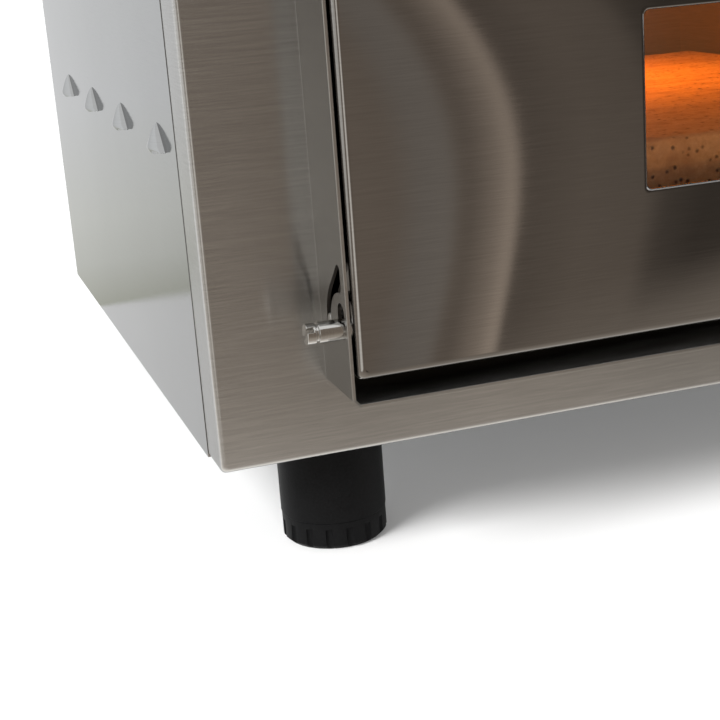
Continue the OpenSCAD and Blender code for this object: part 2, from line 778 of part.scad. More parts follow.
module lamp_bulb() color("white") {
    base_x = lamp_x1 - lamp_wall - lamp_flange_t;
    tip_x = cav_x1 + 14;
    rod_x([tip_x, lamp_y, lamp_z], bulb_d, base_x - tip_x);
    translate([tip_x, lamp_y, lamp_z]) sphere(d = bulb_d);
}

module lamp_glass() color("lightcyan", 0.4)
    rod_x([cav_x1 - lamp_flange_t - 3, lamp_y, lamp_z], lamp_d, 3);

module terminal_block() color("ivory") difference() {
    x0 = gland_x - term_w / 2;
    y1 = body_d - t;
    block([x0, y1 - term_d, term_z - term_h / 2], [x0 + term_w, y1, term_z + term_h / 2]);
    for (i = [0 : 4]) rod_z([x0 + (i + 0.5) * term_w / 5, y1 - term_d / 2, term_z], 4, term_h);
}

// Loom from the terminals to the thermostats, with branches to the switches
module wiring_loom() color("white") {
    thermo_y = t + thermo_d;
    drop_d = branch_d + 1;
    pipe([
        [gland_x, body_d - t - term_d, term_z], [gland_x, wire_y, term_z],
        [gland_x, wire_y, knob_z[0]], [gland_x, thermo_y, knob_z[0]]
    ], wire_d);
    rod_y([gland_x, thermo_y, knob_z[1]], branch_d, wire_y - thermo_y);
    rod_z([gland_x, wire_y, switch_z], drop_d, term_z - switch_z);
    left_x = control_x - switch_pitch / 2;
    right_x = control_x + switch_pitch / 2;
    pipe([
        [left_x, switch_len, switch_z], [left_x, wire_y, switch_z],
        [right_x, wire_y, switch_z], [right_x, switch_len, switch_z]
    ], branch_d);
}

module cable_gland() color(black) difference() {
    collar_h = 6;
    union() {
        rod_y([gland_x, body_d, gland_z], gland_d, collar_h);
        rod_y([gland_x, body_d + collar_h - cut, gland_z], gland_d - 3, gland_out - collar_h + cut);
        rod_y([gland_x, body_d - t - gland_nut_h - 2, gland_z], gland_d - 6, t + gland_nut_h + 2 + cut);
    }
    rod_y([gland_x, body_d - 20, gland_z], gland_bore, gland_out + 20 + cut);
}

module gland_nut() color(black) difference() {
    translate([gland_x, body_d - t, gland_z]) rotate([90, 0, 0])
        cylinder(d = gland_d + 4, h = gland_nut_h, $fn = 6);
    rod_y([gland_x, body_d - 20, gland_z], gland_d - 6 + 2 * slip, 20);
}

module window_hole(y0, y1, grow)
    block([win_x0 - grow, y0, win_z0 - grow], [win_x1 + grow, y1, win_z1 + grow]);

module door_skin() color(front_steel) difference() {
    union() {
        pan([door_x0, door_y0, door_z0], [door_x1, skin_y1, door_z1]);
        difference() {
            block([door_x0 + t / 2, skin_y1 - t, door_z0 + t / 2],
                  [door_x1 - t / 2, skin_y1, door_z1 - t / 2]);
            block([door_x0 + lip_w, skin_y1 - 2 * t, door_z0 + lip_w],
                  [door_x1 - lip_w, skin_y1 + cut, door_z1 - lip_w]);
        }
    }
    window_hole(door_y0 - cut, door_y0 + t + cut, 0);
    for (x = [door_x0 - cut, door_x1 - t - cut]) {
        rod_x([x, pin_y, pin_z], pin_d + 2 * slip, t + 2 * cut);
        rod_x([x, peg_y(), peg_z()], peg_d + 2 * slip, t + 2 * cut);
    }
    for (x = post_x) rod_y([x, door_y0 - cut, handle_z], handle_screw_d + 2 * hole_play, t + 2 * cut);
    for (x = door_screw_x, z = door_screw_z) rod_y([x, skin_y1 - 2 * t, z], 2.6, 3 * t);
}

// Place of the stop peg when the door is closed
function peg_y() = pin_y + stop_r * cos(peg_a);
function peg_z() = pin_z + stop_r * sin(peg_a);

module door_inner_pan() color(dark) difference() {
    x0 = door_x0 + plug_inset;
    x1 = door_x1 - plug_inset;
    rim = 2.5;
    union() {
        block([door_x0 + rim, skin_y1, door_z0 + rim], [door_x1 - rim, skin_y1 + t, door_z1 - rim]);
        block([x0, skin_y1, plug_z0], [x1, plug_y1, plug_z1]);
    }
    block([x0 + t, skin_y1 - cut, plug_z0 + t], [x1 - t, plug_y1 - t, plug_z1 - t]);
    window_hole(plug_y1 - t - cut, plug_y1 + cut, win_step);
    for (x = door_screw_x, z = door_screw_z) rod_y([x, skin_y1 - cut, z], 2.6, t + 2 * cut);
}

module door_wool() color(wool) difference() {
    y0 = door_y0 + t;
    block([door_x0 + block_l + 4, y0, door_z0 + 4], [door_x1 - block_l - 4, skin_y1 - t, door_z1 - 4]);
    window_hole(y0 - cut, skin_y1 + cut, pane_grow + cut);
    for (x = post_x) rod_y([x, y0 - cut, handle_z], handle_head_d + 2, handle_head_h + 2 + cut);
    for (x = door_screw_x, z = door_screw_z) rod_y([x, skin_y1 - t - 8, z], 4, 9);
}

module outer_glass() color("lightcyan", 0.4) window_hole(door_y0 + t, door_y0 + t + glass_t, pane_grow);

module inner_glass() color("lightcyan", 0.4) window_hole(plug_y1 - t - glass_t, plug_y1 - t, pane_grow);

module window_spacer() color(dark) difference() {
    y0 = door_y0 + t + glass_t;
    y1 = plug_y1 - t - glass_t;
    window_hole(y0, y1, win_step + spacer_t);
    window_hole(y0 - cut, y1 + cut, win_step);
}

module hinge_block(x0) difference() {
    y0 = door_y0 + t + stop_play;
    half = pin_d;
    soft_front([x0, y0, pin_z - half], [x0 + block_l, pin_y + half, pin_z + half], edge_r);
    rod_x([x0 - cut, pin_y, pin_z], pin_d + 2 * slip, block_l + 2 * cut);
}

module hinge_blocks() color(dark) {
    hinge_block(door_x0 + t);
    hinge_block(door_x1 - t - block_l);
}

// Left pin: plain shank, a groove, and a slotted end
module hinge_pin() difference() {
    tip_x = open_x0 - t - pin_out;
    tip_len = 4;
    groove_w = 1.2;
    groove_deep = 0.8;
    driver_w = 2;
    rod_x([tip_x, pin_y, pin_z], pin_d, door_x0 + t + block_l - 2 - tip_x);
    difference() {
        rod_x([tip_x + tip_len, pin_y, pin_z], pin_d + cut, groove_w);
        rod_x([tip_x + tip_len - cut, pin_y, pin_z], pin_d - 2 * groove_deep, groove_w + 2 * cut);
    }
    translate([tip_x, pin_y, pin_z]) rotate([-35, 0, 0])
        block([-cut, -pin_d, -driver_w / 2], [tip_len - 1, pin_d, driver_w / 2]);
}

module left_hinge_pin() color(steel) hinge_pin();

module right_hinge_pin() color(steel) translate([2 * mid_x, 0, 0]) mirror([1, 0, 0]) hinge_pin();

module stop_pegs() color(dark) {
    peg_len = door_gap_side + t + 5;
    rod_x([door_x0 - door_gap_side - t + slip, peg_y(), peg_z()], peg_d, peg_len);
    rod_x([door_x1 + door_gap_side + t - slip - peg_len, peg_y(), peg_z()], peg_d, peg_len);
}

module handle_bar() color(steel) difference() {
    rod_x([mid_x - handle_len / 2, handle_y, handle_z], handle_d, handle_len);
    for (x = post_x) rod_y([x, handle_y, handle_z], post_d + 2 * slip, handle_d);
}

module handle_posts() color(steel) for (x = post_x) difference() {
    tap = handle_screw_in + 3;
    rod_y([x, handle_y + slip, handle_z], post_d, door_y0 - handle_y - slip);
    rod_y([x, door_y0 - tap, handle_z], handle_screw_d, tap + cut);
}

module foot_sockets() color(black) for (x = foot_x, y = foot_y) difference() {
    rod_z([x, y, -foot_h + ring_h + slip], foot_d, foot_h - ring_h - slip);
    rod_z([x, y, -foot_h], stem_d + 2 * slip, ring_h + stem_len + 1);
    rod_z([x, y, -bolt_in], bolt_d + 2 * slip, bolt_in + cut);
}

// Fluted levelling ring with its stem
module foot_ring(ix, iy) translate([foot_x[ix], foot_y[iy], -foot_h]) {
    rim_h = 3;
    ring_d = foot_d - 0.6;
    flute_d = 3.6;
    chamfer = 2;
    difference() {
        union() {
            cylinder(d1 = ring_d - 2 * chamfer, d2 = ring_d, h = chamfer);
            translate([0, 0, chamfer]) cylinder(d = ring_d, h = ring_h - chamfer);
        }
        for (k = [0 : flutes - 1]) rotate([0, 0, k * 360 / flutes])
            translate([ring_d / 2 + 0.6, 0, -cut]) cylinder(d = flute_d, h = ring_h - rim_h + cut);
    }
    translate([0, 0, ring_h - cut]) cylinder(d = stem_d, h = stem_len + cut);
}

module front_left_ring() color(black) foot_ring(0, 0);

module front_right_ring() color(black) foot_ring(1, 0);

module rear_left_ring() color(black) foot_ring(0, 1);

module rear_right_ring() color(black) foot_ring(1, 1);

module case_screws() color(steel) {
    for (x = side_screw_x, y = cover_screw_y) {
        translate([x, y, body_h]) screw();
        translate([x, y, 0]) rotate([180, 0, 0]) screw();
    }
    for (x = side_screw_x, z = back_screw_z) translate([x, body_d, z]) rotate([-90, 0, 0]) screw();
    for (z = knob_z, s = [-1, 1]) {
        x = control_x + s * thermo_screw_x;
        rod_y([x, -thermo_head_h, z], thermo_head_d, thermo_head_h);
        rod_y([x, -thermo_head_h / 2, z], thermo_screw_d, screw_len);
    }
    for (x = foot_x, y = foot_y) {
        translate([x, y, t]) cylinder(d = bolt_d + 5, h = 5, $fn = 6);
        rod_z([x, y, -bolt_in], bolt_d, bolt_in + t + cut);
    }
}

module door_screws() color(steel) {
    for (x = door_screw_x, z = door_screw_z) {
        rod_y([x, skin_y1 + t, z], door_head_d, 1.6);
        rod_y([x, skin_y1 - t - 5, z], 2.4, 2 * t + 5 + cut);
    }
    for (x = post_x) {
        rod_y([x, door_y0 + t, handle_z], handle_head_d, handle_head_h);
        rod_y([x, door_y0 - handle_screw_in, handle_z], handle_screw_d - 2 * slip,
              handle_screw_in + t + cut);
    }
}

place() front_panel();
place() left_side_panel();
place() right_side_panel();
place() top_cover();
place() back_panel();
place() base_pan();
place() mouth_frame();
place() chamber_liner();
place() stone_rails();
place() baking_stone();
place() upper_element();
place() lower_element();
place() element_straps();
place() element_bushes();
place() wool_top();
place() wool_bottom();
place() wool_left();
place() wool_right();
place() wool_rear();
place() control_partition();
place() top_thermostat();
place() bottom_thermostat();
place() top_shaft();
place() bottom_shaft();
place() top_probe();
place() bottom_probe();
place() top_knob();
place() bottom_knob();
place() top_pilot();
place() bottom_pilot();
place() main_switch_body();
place() main_switch_rocker();
place() lamp_switch_body();
place() lamp_switch_rocker();
place() lamp_holder();
place() lamp_bulb();
place() lamp_glass();
place() terminal_block();
place() wiring_loom();
place() cable_gland();
place() gland_nut();
place() door_skin();
place() door_inner_pan();
place() door_wool();
place() outer_glass();
place() inner_glass();
place() window_spacer();
place() hinge_blocks();
place() left_hinge_pin();
place() right_hinge_pin();
place() stop_pegs();
place() handle_bar();
place() handle_posts();
place() foot_sockets();
place() front_left_ring();
place() front_right_ring();
place() rear_left_ring();
place() rear_right_ring();
place() case_screws();
place() door_screws();
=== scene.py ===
# %% [markdown]
# An electric pizza oven in folded steel
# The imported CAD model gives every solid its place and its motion. This lesson dresses it: the
# sheet metal gets true folds and a brushed grain, the stone gets worn edges and pits, the
# heating tube glows, and whatever repeats is made with Geometry Nodes.

# %% Load the frame
import bpy
import bmesh
import json
import math
from mathutils import Matrix, Vector, noise as field


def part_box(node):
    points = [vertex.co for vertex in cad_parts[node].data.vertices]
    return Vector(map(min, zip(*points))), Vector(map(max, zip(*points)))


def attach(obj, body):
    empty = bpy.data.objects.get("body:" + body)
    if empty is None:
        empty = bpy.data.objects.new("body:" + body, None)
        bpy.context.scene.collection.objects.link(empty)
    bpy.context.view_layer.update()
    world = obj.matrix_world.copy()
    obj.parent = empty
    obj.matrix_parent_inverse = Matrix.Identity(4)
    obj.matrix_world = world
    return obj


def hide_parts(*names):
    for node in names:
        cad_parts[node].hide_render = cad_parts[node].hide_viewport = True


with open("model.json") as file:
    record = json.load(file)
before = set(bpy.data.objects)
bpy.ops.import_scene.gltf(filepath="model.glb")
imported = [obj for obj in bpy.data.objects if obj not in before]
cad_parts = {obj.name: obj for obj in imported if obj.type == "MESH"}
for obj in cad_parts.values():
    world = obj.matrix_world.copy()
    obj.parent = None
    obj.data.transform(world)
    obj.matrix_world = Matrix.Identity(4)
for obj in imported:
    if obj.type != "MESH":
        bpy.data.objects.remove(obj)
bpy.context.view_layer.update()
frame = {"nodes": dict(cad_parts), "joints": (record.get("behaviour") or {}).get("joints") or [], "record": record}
NODES = frame["nodes"]
RECORD = frame["record"]
BODY_OF = {n: b for b, ns in RECORD["behaviour"]["bodies"].items() for n in ns}
SLOT_OF = {p["node"]: p["material_slot"] for p in RECORD["subparts"]}
PIVOT = {j["name"]: Vector(j.get("pos_m", (0, 0, 0))) for j in frame["joints"]}
MM = 0.001
bpy.context.scene.view_settings.view_transform = "Standard"

# %% [markdown]
# The camera
# The photograph is a close view of the lower left corner. Its place was found by matching the
# edges of the sheet metal, so it is given as a point and three directions.

# %% Camera
CAMERA_AT = (-0.41836, -0.79666, 0.28047)
CAMERA_RIGHT = Vector((0.947515, -0.311436, -0.072268))
CAMERA_UP = Vector((0.154196, 0.247142, 0.956632))
CAMERA_BACK = Vector((-0.280069, -0.917567, 0.282193))
CAMERA_LENS, CAMERA_SENSOR, CAMERA_NEAR = 75.14, 36.0, 10 * MM


def in_scene(name, data):
    obj = bpy.data.objects.new(name, data)
    bpy.context.scene.collection.objects.link(obj)
    return obj


def set_at(point, right, up, out):
    """Matrix at a point whose X, Y and Z run along three directions."""
    return Matrix.Translation(point) @ Matrix((right, up, out)).transposed().to_4x4()


cam = in_scene("camera", bpy.data.cameras.new("camera"))
cam.data.lens = CAMERA_LENS
cam.data.sensor_width = CAMERA_SENSOR
cam.data.clip_start = CAMERA_NEAR
cam.matrix_world = set_at(CAMERA_AT, CAMERA_RIGHT, CAMERA_UP, CAMERA_BACK)
bpy.context.scene.camera = cam
print("camera at", CAMERA_AT)

# %% [markdown]
# A small kit for node materials
# Every finish is a Principled shader whose colour, roughness and bump come from textures on
# Object coordinates, so a pattern keeps its real size on every piece.

# %% Material helpers
def feed(tree, node, links):
    """Sets a node's inputs, each from another node's socket or from a plain value."""
    for key, source in links.items():
        if isinstance(source, bpy.types.NodeSocket):
            tree.links.new(source, node.inputs[key])
        else:
            node.inputs[key].default_value = source


def add(tree, kind, links=(), **settings):
    node = tree.nodes.new(kind)
    for key, value in settings.items():
        setattr(node, key, value)
    feed(tree, node, dict(links))
    return node


def start_material(name):
    mat = bpy.data.materials.new(name)
    mat.use_nodes = True
    tree = mat.node_tree
    return mat, tree, tree.nodes["Principled BSDF"], add(tree, "ShaderNodeTexCoord").outputs["Object"]


def stretched(tree, coords, scale):
    return add(tree, "ShaderNodeMapping", [("Vector", coords), ("Scale", scale)]).outputs["Vector"]


def noise(tree, vector, scale, detail, rough):
    links = [("Vector", vector), ("Scale", scale), ("Detail", detail), ("Roughness", rough)]
    return add(tree, "ShaderNodeTexNoise", links).outputs["Fac"]


def ramp(tree, fac, stops):
    node = add(tree, "ShaderNodeValToRGB", [("Fac", fac)])
    elements = node.color_ramp.elements
    while len(elements) < len(stops):
        elements.new(0.5)
    for element, (place, colour) in zip(elements, stops):
        element.position = place
        element.color = (*colour, 1.0)
    return node.outputs["Color"]


def remap(tree, fac, low, high, from_low=0.3, from_high=0.7):
    ends = [("From Min", from_low), ("From Max", from_high), ("To Min", low), ("To Max", high)]
    return add(tree, "ShaderNodeMapRange", [("Value", fac), *ends]).outputs["Result"]


def bump(tree, height, strength, distance, normal=None):
    links = [("Height", height), ("Strength", strength), ("Distance", distance)]
    if normal is not None:
        links.append(("Normal", normal))
    return add(tree, "ShaderNodeBump", links).outputs["Normal"]


def by_id(sockets):
    """Sockets by identifier, for a node that has several of one name."""
    return {s.identifier: s for s in sockets}


def mixed(tree, fac, a, b, kind="MIX"):
    node = add(tree, "ShaderNodeMix", data_type="RGBA", blend_type=kind)
    sockets = by_id(node.inputs)
    for key, value in (("Factor_Float", fac), ("A_Color", a), ("B_Color", b)):
        if isinstance(value, bpy.types.NodeSocket):
            tree.links.new(value, sockets[key])
        else:
            sockets[key].default_value = (*value, 1.0) if isinstance(value, tuple) else value
    return by_id(node.outputs)["Result_Color"]


def maths(tree, kind, a, b):
    return add(tree, "ShaderNodeMath", [(0, a), (1, b)], operation=kind).outputs[0]


def along_axes(tree, coords):
    """The X, Y and Z of a place, each as a socket of its own."""
    return add(tree, "ShaderNodeSeparateXYZ", [(0, coords)]).outputs


print("material helpers ready")

# %% [markdown]
# Brushed steel
# A belt leaves fine scratches that run along the sheet. They spread a reflection across the
# grain, which is what an anisotropic shader does, and long stretched noise draws the scratches.
# A slow swell in the normal stands for sheet that is never quite flat.

# %% Brushed steel
FINE_LINES = 1500.0
LONG_LINES = 40.0


def bowed(tree, coords, x0, z0, amount):
    """Height of a sheet that twists to both sides above and below the line z0."""
    place = along_axes(tree, coords)
    across = maths(tree, "SUBTRACT", place["X"], x0)
    up = maths(tree, "SUBTRACT", place["Z"], z0)
    return maths(tree, "MULTIPLY", maths(tree, "MULTIPLY", up, up), maths(tree, "MULTIPLY", across, amount))


def brushed_steel(name, dark, light, across, roughness, spread=0.8, swell=0.05, wave=(3.0, 3.0, 1.2),
                  rim=1.0, bow=None, scratch=0.04):
    """Steel whose scratches are fine along one axis; spread is how far they smear a reflection."""
    mat, tree, shader, coords = start_material(name)
    scale = tuple(FINE_LINES if axis == across else LONG_LINES for axis in "XYZ")
    fine = noise(tree, stretched(tree, coords, scale), 1.0, 5.0, 0.65)
    cloud = noise(tree, coords, 9.0, 4.0, 0.55)
    colour = ramp(tree, fine, [(0.25, dark), (0.75, light)])
    smear = ramp(tree, cloud, [(0.35, (0.94, 0.94, 0.94)), (0.65, (1.0, 1.0, 1.0))])
    slow = bump(tree, noise(tree, stretched(tree, coords, wave), 1.0, 1.0, 0.4), swell, 0.02)
    if bow:
        slow = bump(tree, bowed(tree, coords, *bow), 1.0, 1.0, slow)
    feed(tree, shader, {
        "Base Color": mixed(tree, 1.0, colour, smear, "MULTIPLY"),
        "Roughness": remap(tree, fine, roughness - 0.02, roughness + 0.02),
        "Normal": bump(tree, fine, scratch, 0.0005, slow),
        "Tangent": add(tree, "ShaderNodeTangent", direction_type="RADIAL", axis=across).outputs["Tangent"],
        "Metallic": 1.0, "Specular Tint": (rim, rim, rim, 1.0),
        "Anisotropic": spread, "Anisotropic Rotation": 0.25})
    return mat


DOOR_BOW = (-0.172, 0.179, -5.4)
FRONT_STEEL = brushed_steel("front_steel", (0.465, 0.46, 0.45), (0.575, 0.57, 0.555), "Z", 0.25, 0.95,
                            rim=0.62)
DOOR_STEEL = brushed_steel("door_steel", (0.332, 0.322, 0.312), (0.398, 0.388, 0.378), "Z", 0.07, 0.9,
                           0.03, (4, 4, 4), 0.8, DOOR_BOW, 0.008)
CASE_STEEL = brushed_steel("case_steel", (0.40, 0.405, 0.405), (0.44, 0.445, 0.445), "Z", 0.08, 0.5,
                           0.02, rim=0.65)
COVER_STEEL = brushed_steel("cover_steel", (0.39, 0.395, 0.395), (0.45, 0.455, 0.455), "Y", 0.24, rim=0.65)
CHAMBER_STEEL = brushed_steel("chamber_steel", (0.26, 0.23, 0.20), (0.38, 0.34, 0.30), "Z", 0.40, 0.6)
# Dark steel: real soot on the door's inner pan and window spacer, painted shade on the mouth frame, hinge blocks
# and slot walls.
SOOT_AND_SHADE_STEEL = brushed_steel("sooted_steel", (0.06, 0.054, 0.048), (0.12, 0.108, 0.096), "Z", 0.48, 0.4)
PLATED_STEEL = brushed_steel("plated_steel", (0.50, 0.50, 0.485), (0.64, 0.64, 0.62), "X", 0.28, 0.0, 0.0)
PIN_STEEL = brushed_steel("pin_steel", (0.52, 0.51, 0.49), (0.60, 0.59, 0.57), "X", 0.12, 0.0, 0.0)
print("steels made")

# %% [markdown]
# Black plastic, ceramic, wool and the rest
# Moulded plastic has a faint orange-peel skin and duller patches where it is handled. Fired
# clay is chalky, mineral wool is a mat of fibres, and the copper capillary is drawn tube.

# %% Moulded and fired finishes
def speckled(name, dark, light, scale, roughness, bump_strength, bump_depth, detail=4.0):
    mat, tree, shader, coords = start_material(name)
    grain = noise(tree, coords, scale, detail, 0.6)
    patch = noise(tree, coords, 22.0, 3.0, 0.5)
    feed(tree, shader, {
        "Base Color": ramp(tree, mixed(tree, 0.5, grain, patch), [(0.35, dark), (0.65, light)]),
        "Roughness": remap(tree, patch, roughness - 0.06, roughness + 0.08),
        "Normal": bump(tree, grain, bump_strength, bump_depth)})
    return mat


BLACK_PLASTIC = speckled("black_plastic", (0.004, 0.004, 0.0042), (0.009, 0.009, 0.0094), 900.0, 0.5,
                         0.18, 0.0004)
BLACK_PLASTIC.node_tree.nodes["Principled BSDF"].inputs["Specular IOR Level"].default_value = 0.07
RED_PLASTIC = speckled("red_plastic", (0.33, 0.018, 0.014), (0.45, 0.032, 0.024), 700.0, 0.28, 0.05, 0.0003)
CERAMIC = speckled("ceramic", (0.62, 0.58, 0.50), (0.78, 0.75, 0.68), 500.0, 0.65, 0.2, 0.0005)
WHITE_PRINT = speckled("white_print", (0.68, 0.68, 0.66), (0.80, 0.80, 0.78), 800.0, 0.55, 0.1, 0.0001)
DARK_PRINT = speckled("dark_print", (0.015, 0.015, 0.016), (0.035, 0.035, 0.036), 800.0, 0.55, 0.1, 0.0001)
WOOL = speckled("mineral_wool", (0.46, 0.40, 0.27), (0.72, 0.66, 0.50), 260.0, 0.9, 0.9, 0.003, 8.0)
WIRE = speckled("wire_sleeve", (0.55, 0.53, 0.48), (0.74, 0.72, 0.66), 1400.0, 0.6, 0.4, 0.0004)
COPPER = speckled("copper_tube", (0.50, 0.24, 0.14), (0.66, 0.36, 0.23), 300.0, 0.32, 0.05, 0.0003)
COPPER.node_tree.nodes["Principled BSDF"].inputs["Metallic"].default_value = 1.0
print("moulded and fired finishes made")

# %% [markdown]
# The stone, the hot tube and the glass
# A baking stone is pale fired clay with pits and brown marks from use. The heating tube glows
# a dull orange when it is on. The panes are clear, so their shader lets light straight through
# and keeps only the reflection.

# %% Stone, element, glass
def spots(tree, coords, scale, low, high, keep):
    """1 on the ground and 0 in scattered round spots; keep is the share of cells with a spot."""
    cells = add(tree, "ShaderNodeTexVoronoi", [("Vector", coords), ("Scale", scale)])
    ground = remap(tree, cells.outputs["Distance"], 0.0, 1.0, low, high)
    chance = add(tree, "ShaderNodeSeparateColor", [("Color", cells.outputs["Color"])]).outputs["Red"]
    return maths(tree, "MAXIMUM", ground, remap(tree, chance, 0.0, 1.0, keep, keep + 0.02))


def stone_finish():
    mat, tree, shader, coords = start_material("stone")
    grain = noise(tree, coords, 420.0, 8.0, 0.65)
    burn = noise(tree, coords, 30.0, 6.0, 0.65)
    rubbed = noise(tree, stretched(tree, coords, (6.0, 90.0, 90.0)), 1.0, 4.0, 0.6)
    pits = spots(tree, coords, 260.0, 0.12, 0.34, 0.45)
    blots = spots(tree, coords, 95.0, 0.10, 0.50, 0.5)
    body = ramp(tree, grain, [(0.3, (0.50, 0.34, 0.20)), (0.7, (0.70, 0.52, 0.34))])
    streaked = mixed(tree, remap(tree, rubbed, 0.0, 0.55, 0.45, 0.75), body, (0.34, 0.20, 0.11))
    marked = mixed(tree, remap(tree, burn, 0.0, 0.6, 0.52, 0.72), streaked, (0.26, 0.13, 0.07))
    blotted = mixed(tree, remap(tree, blots, 0.55, 1.0, 0.0, 1.0), (0.22, 0.09, 0.05), marked)
    feed(tree, shader, {
        "Base Color": mixed(tree, pits, (0.07, 0.03, 0.02), blotted), "Roughness": 0.88,
        "Normal": bump(tree, grain, 0.4, 0.0006, bump(tree, pits, 0.8, 0.0012))})
    return mat


def hot_tube_finish(name, glow):
    mat, tree, shader, coords = start_material(name)
    scale = noise(tree, coords, 140.0, 5.0, 0.6)
    feed(tree, shader, {
        "Base Color": ramp(tree, scale, [(0.3, (0.10, 0.06, 0.04)), (0.7, (0.24, 0.16, 0.11))]),
        "Emission Color": ramp(tree, scale, [(0.2, (0.85, 0.14, 0.01)), (0.8, (1.0, 0.26, 0.03))]),
        "Normal": bump(tree, scale, 0.2, 0.0004),
        "Roughness": 0.6, "Metallic": 0.4, "Emission Strength": glow})
    return mat


def clear_finish(name, tint, rough):
    mat, tree, shader, coords = start_material(name)
    tree.nodes.remove(shader)
    smear = bump(tree, noise(tree, coords, 30.0, 4.0, 0.6), 0.02, 0.001)
    edge = add(tree, "ShaderNodeFresnel", [("IOR", 1.46), ("Normal", smear)])
    see = add(tree, "ShaderNodeBsdfTransparent", [("Color", (*tint, 1.0))])
    shine = add(tree, "ShaderNodeBsdfGlossy", [("Roughness", rough)])
    both = add(tree, "ShaderNodeMixShader",
               [("Fac", edge.outputs["Fac"]), (1, see.outputs["BSDF"]), (2, shine.outputs["BSDF"])])
    feed(tree, tree.nodes["Material Output"], {"Surface": both.outputs["Shader"]})
    return mat


STONE = stone_finish()
HOT_TUBE = hot_tube_finish("element_tube", 2.0)
GLASS = clear_finish("clear_glass", (0.96, 0.97, 0.96), 0.03)
BULB = clear_finish("bulb_glass", (0.95, 0.93, 0.88), 0.10)
LENS = speckled("pilot_lens", (0.75, 0.26, 0.03), (0.92, 0.40, 0.07), 500.0, 0.18, 0.02, 0.0002)
print("stone, element and glass made")

# %% [markdown]
# Finishes for the CAD nodes
# The record gives each solid a slot. A solid that is good as it stands only needs its finish,
# so every node gets one here, and some are replaced by finer pieces further down.

# %% Finishes by slot
FINISH = {
    "front_steel": FRONT_STEEL, "case_steel": CASE_STEEL, "chamber_steel": CHAMBER_STEEL,
    "stone": STONE, "element_tube": HOT_TUBE, "ceramic": CERAMIC, "mineral_wool": WOOL,
    "plated_steel": PLATED_STEEL, "pin_steel": PIN_STEEL, "copper_tube": COPPER,
    "black_plastic": BLACK_PLASTIC, "red_plastic": RED_PLASTIC, "pilot_lens": LENS,
    "clear_glass": GLASS, "bulb_glass": BULB, "wire_sleeve": WIRE,
}
OWN_FINISH = {
    "door_skin": DOOR_STEEL, "top_cover": COVER_STEEL, "base_pan": COVER_STEEL,
    # The mouth frame and the hinge blocks take the dark steel as painted shade, so the gap under the door and the
    # hinge slots read black.
    "mouth_frame": SOOT_AND_SHADE_STEEL, "door_inner_pan": SOOT_AND_SHADE_STEEL, "window_spacer": SOOT_AND_SHADE_STEEL,
    "hinge_blocks": SOOT_AND_SHADE_STEEL,
}


def finish_of(node):
    return OWN_FINISH.get(node, FINISH[SLOT_OF[node]])


for name, obj in NODES.items():
    obj.data.materials.clear()
    obj.data.materials.append(finish_of(name))
print("finishes given to", len(NODES), "nodes")

# %% [markdown]
# From working mesh to finished piece
# Modifiers are baked into a plain mesh, which is then set to ride on a body of the frame. Faces
# that meet at a small angle are shaded as one surface, and all others keep a crisp edge.

# %% Finishing helpers
def object_from(shape, name, material):
    """Turns a bmesh into an object in the scene."""
    mesh = bpy.data.meshes.new(name)
    shape.to_mesh(mesh)
    shape.free()
    mesh.materials.append(material)
    return in_scene(name, mesh)


def smooth(mesh, angle):
    for face in mesh.polygons:
        face.use_smooth = True
    mesh.set_sharp_from_angle(angle=math.radians(angle))


def baked(obj):
    """Bakes the modifiers into the object's own mesh."""
    graph = bpy.context.evaluated_depsgraph_get()
    mesh = bpy.data.meshes.new_from_object(obj.evaluated_get(graph))
    mesh.name = obj.name
    obj.modifiers.clear()
    obj.data = mesh
    return obj


def on_body(obj, body, slot, *nodes):
    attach(obj, body)
    if nodes:
        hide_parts(*nodes)
    print(obj.name, "on", body, "with", len(obj.data.polygons), "faces")


def in_place_of(node, obj):
    """Puts a finer piece on the body of the node that it replaces."""
    on_body(obj, BODY_OF[node], SLOT_OF[node], node)


def outward(shape):
    """Turns the faces of closed shapes to look out."""
    bmesh.ops.recalc_face_normals(shape, faces=shape.faces)
    return shape


def joined(name, *objs):
    shape = bmesh.new()
    for obj in objs:
        shape.from_mesh(obj.data)
    made = object_from(shape, name, objs[0].data.materials[0])
    for obj in objs:
        bpy.data.objects.remove(obj)
    return made


def bridge(shape, a, b):
    """Quads between two closed rows of vertices."""
    for k in range(len(a)):
        n = (k + 1) % len(a)
        shape.faces.new((a[k], a[n], b[n], b[k]))


def slab(shape, low, high):
    """Closed solid between two outlines with as many points."""
    low, high = [[shape.verts.new(point) for point in outline] for outline in (low, high)]
    shape.faces.new(low)
    shape.faces.new(list(reversed(high)))
    bridge(shape, low, high)


CREASE = 35


def bar(name, material, lo, hi, corner=0.0):
    """Small block between two corners, with rounded edges where corner is given."""
    shape = bmesh.new()
    size = Vector(hi) - Vector(lo)
    middle = (Vector(hi) + Vector(lo)) / 2
    bmesh.ops.create_cube(shape, size=1.0, matrix=Matrix.Translation(middle) @ Matrix.Diagonal((*size, 1)))
    if corner:
        bmesh.ops.bevel(shape, geom=shape.edges, offset=corner, segments=3, profile=0.5, affect="EDGES")
    obj = object_from(shape, name, material)
    smooth(obj.data, CREASE)
    return obj


print("finishing helpers ready")

# %% [markdown]
# Softened solids
# Turned and moulded parts lose their sharp corners when they are finished. A copy of the solid
# is merged into one skin, and a narrow bevel gives its edges a line of light.

# %% Softened solids
SAME_POINT = 2e-6
FLAT_ANGLE, SOFT_ANGLE = 0.3, 40


def merged_copy(node):
    shape = bmesh.new()
    shape.from_mesh(NODES[node].data)
    bmesh.ops.remove_doubles(shape, verts=shape.verts, dist=SAME_POINT)
    bmesh.ops.dissolve_limit(shape, angle_limit=math.radians(FLAT_ANGLE),
                             verts=shape.verts, edges=shape.edges)
    return object_from(shape, "soft_" + node, finish_of(node))


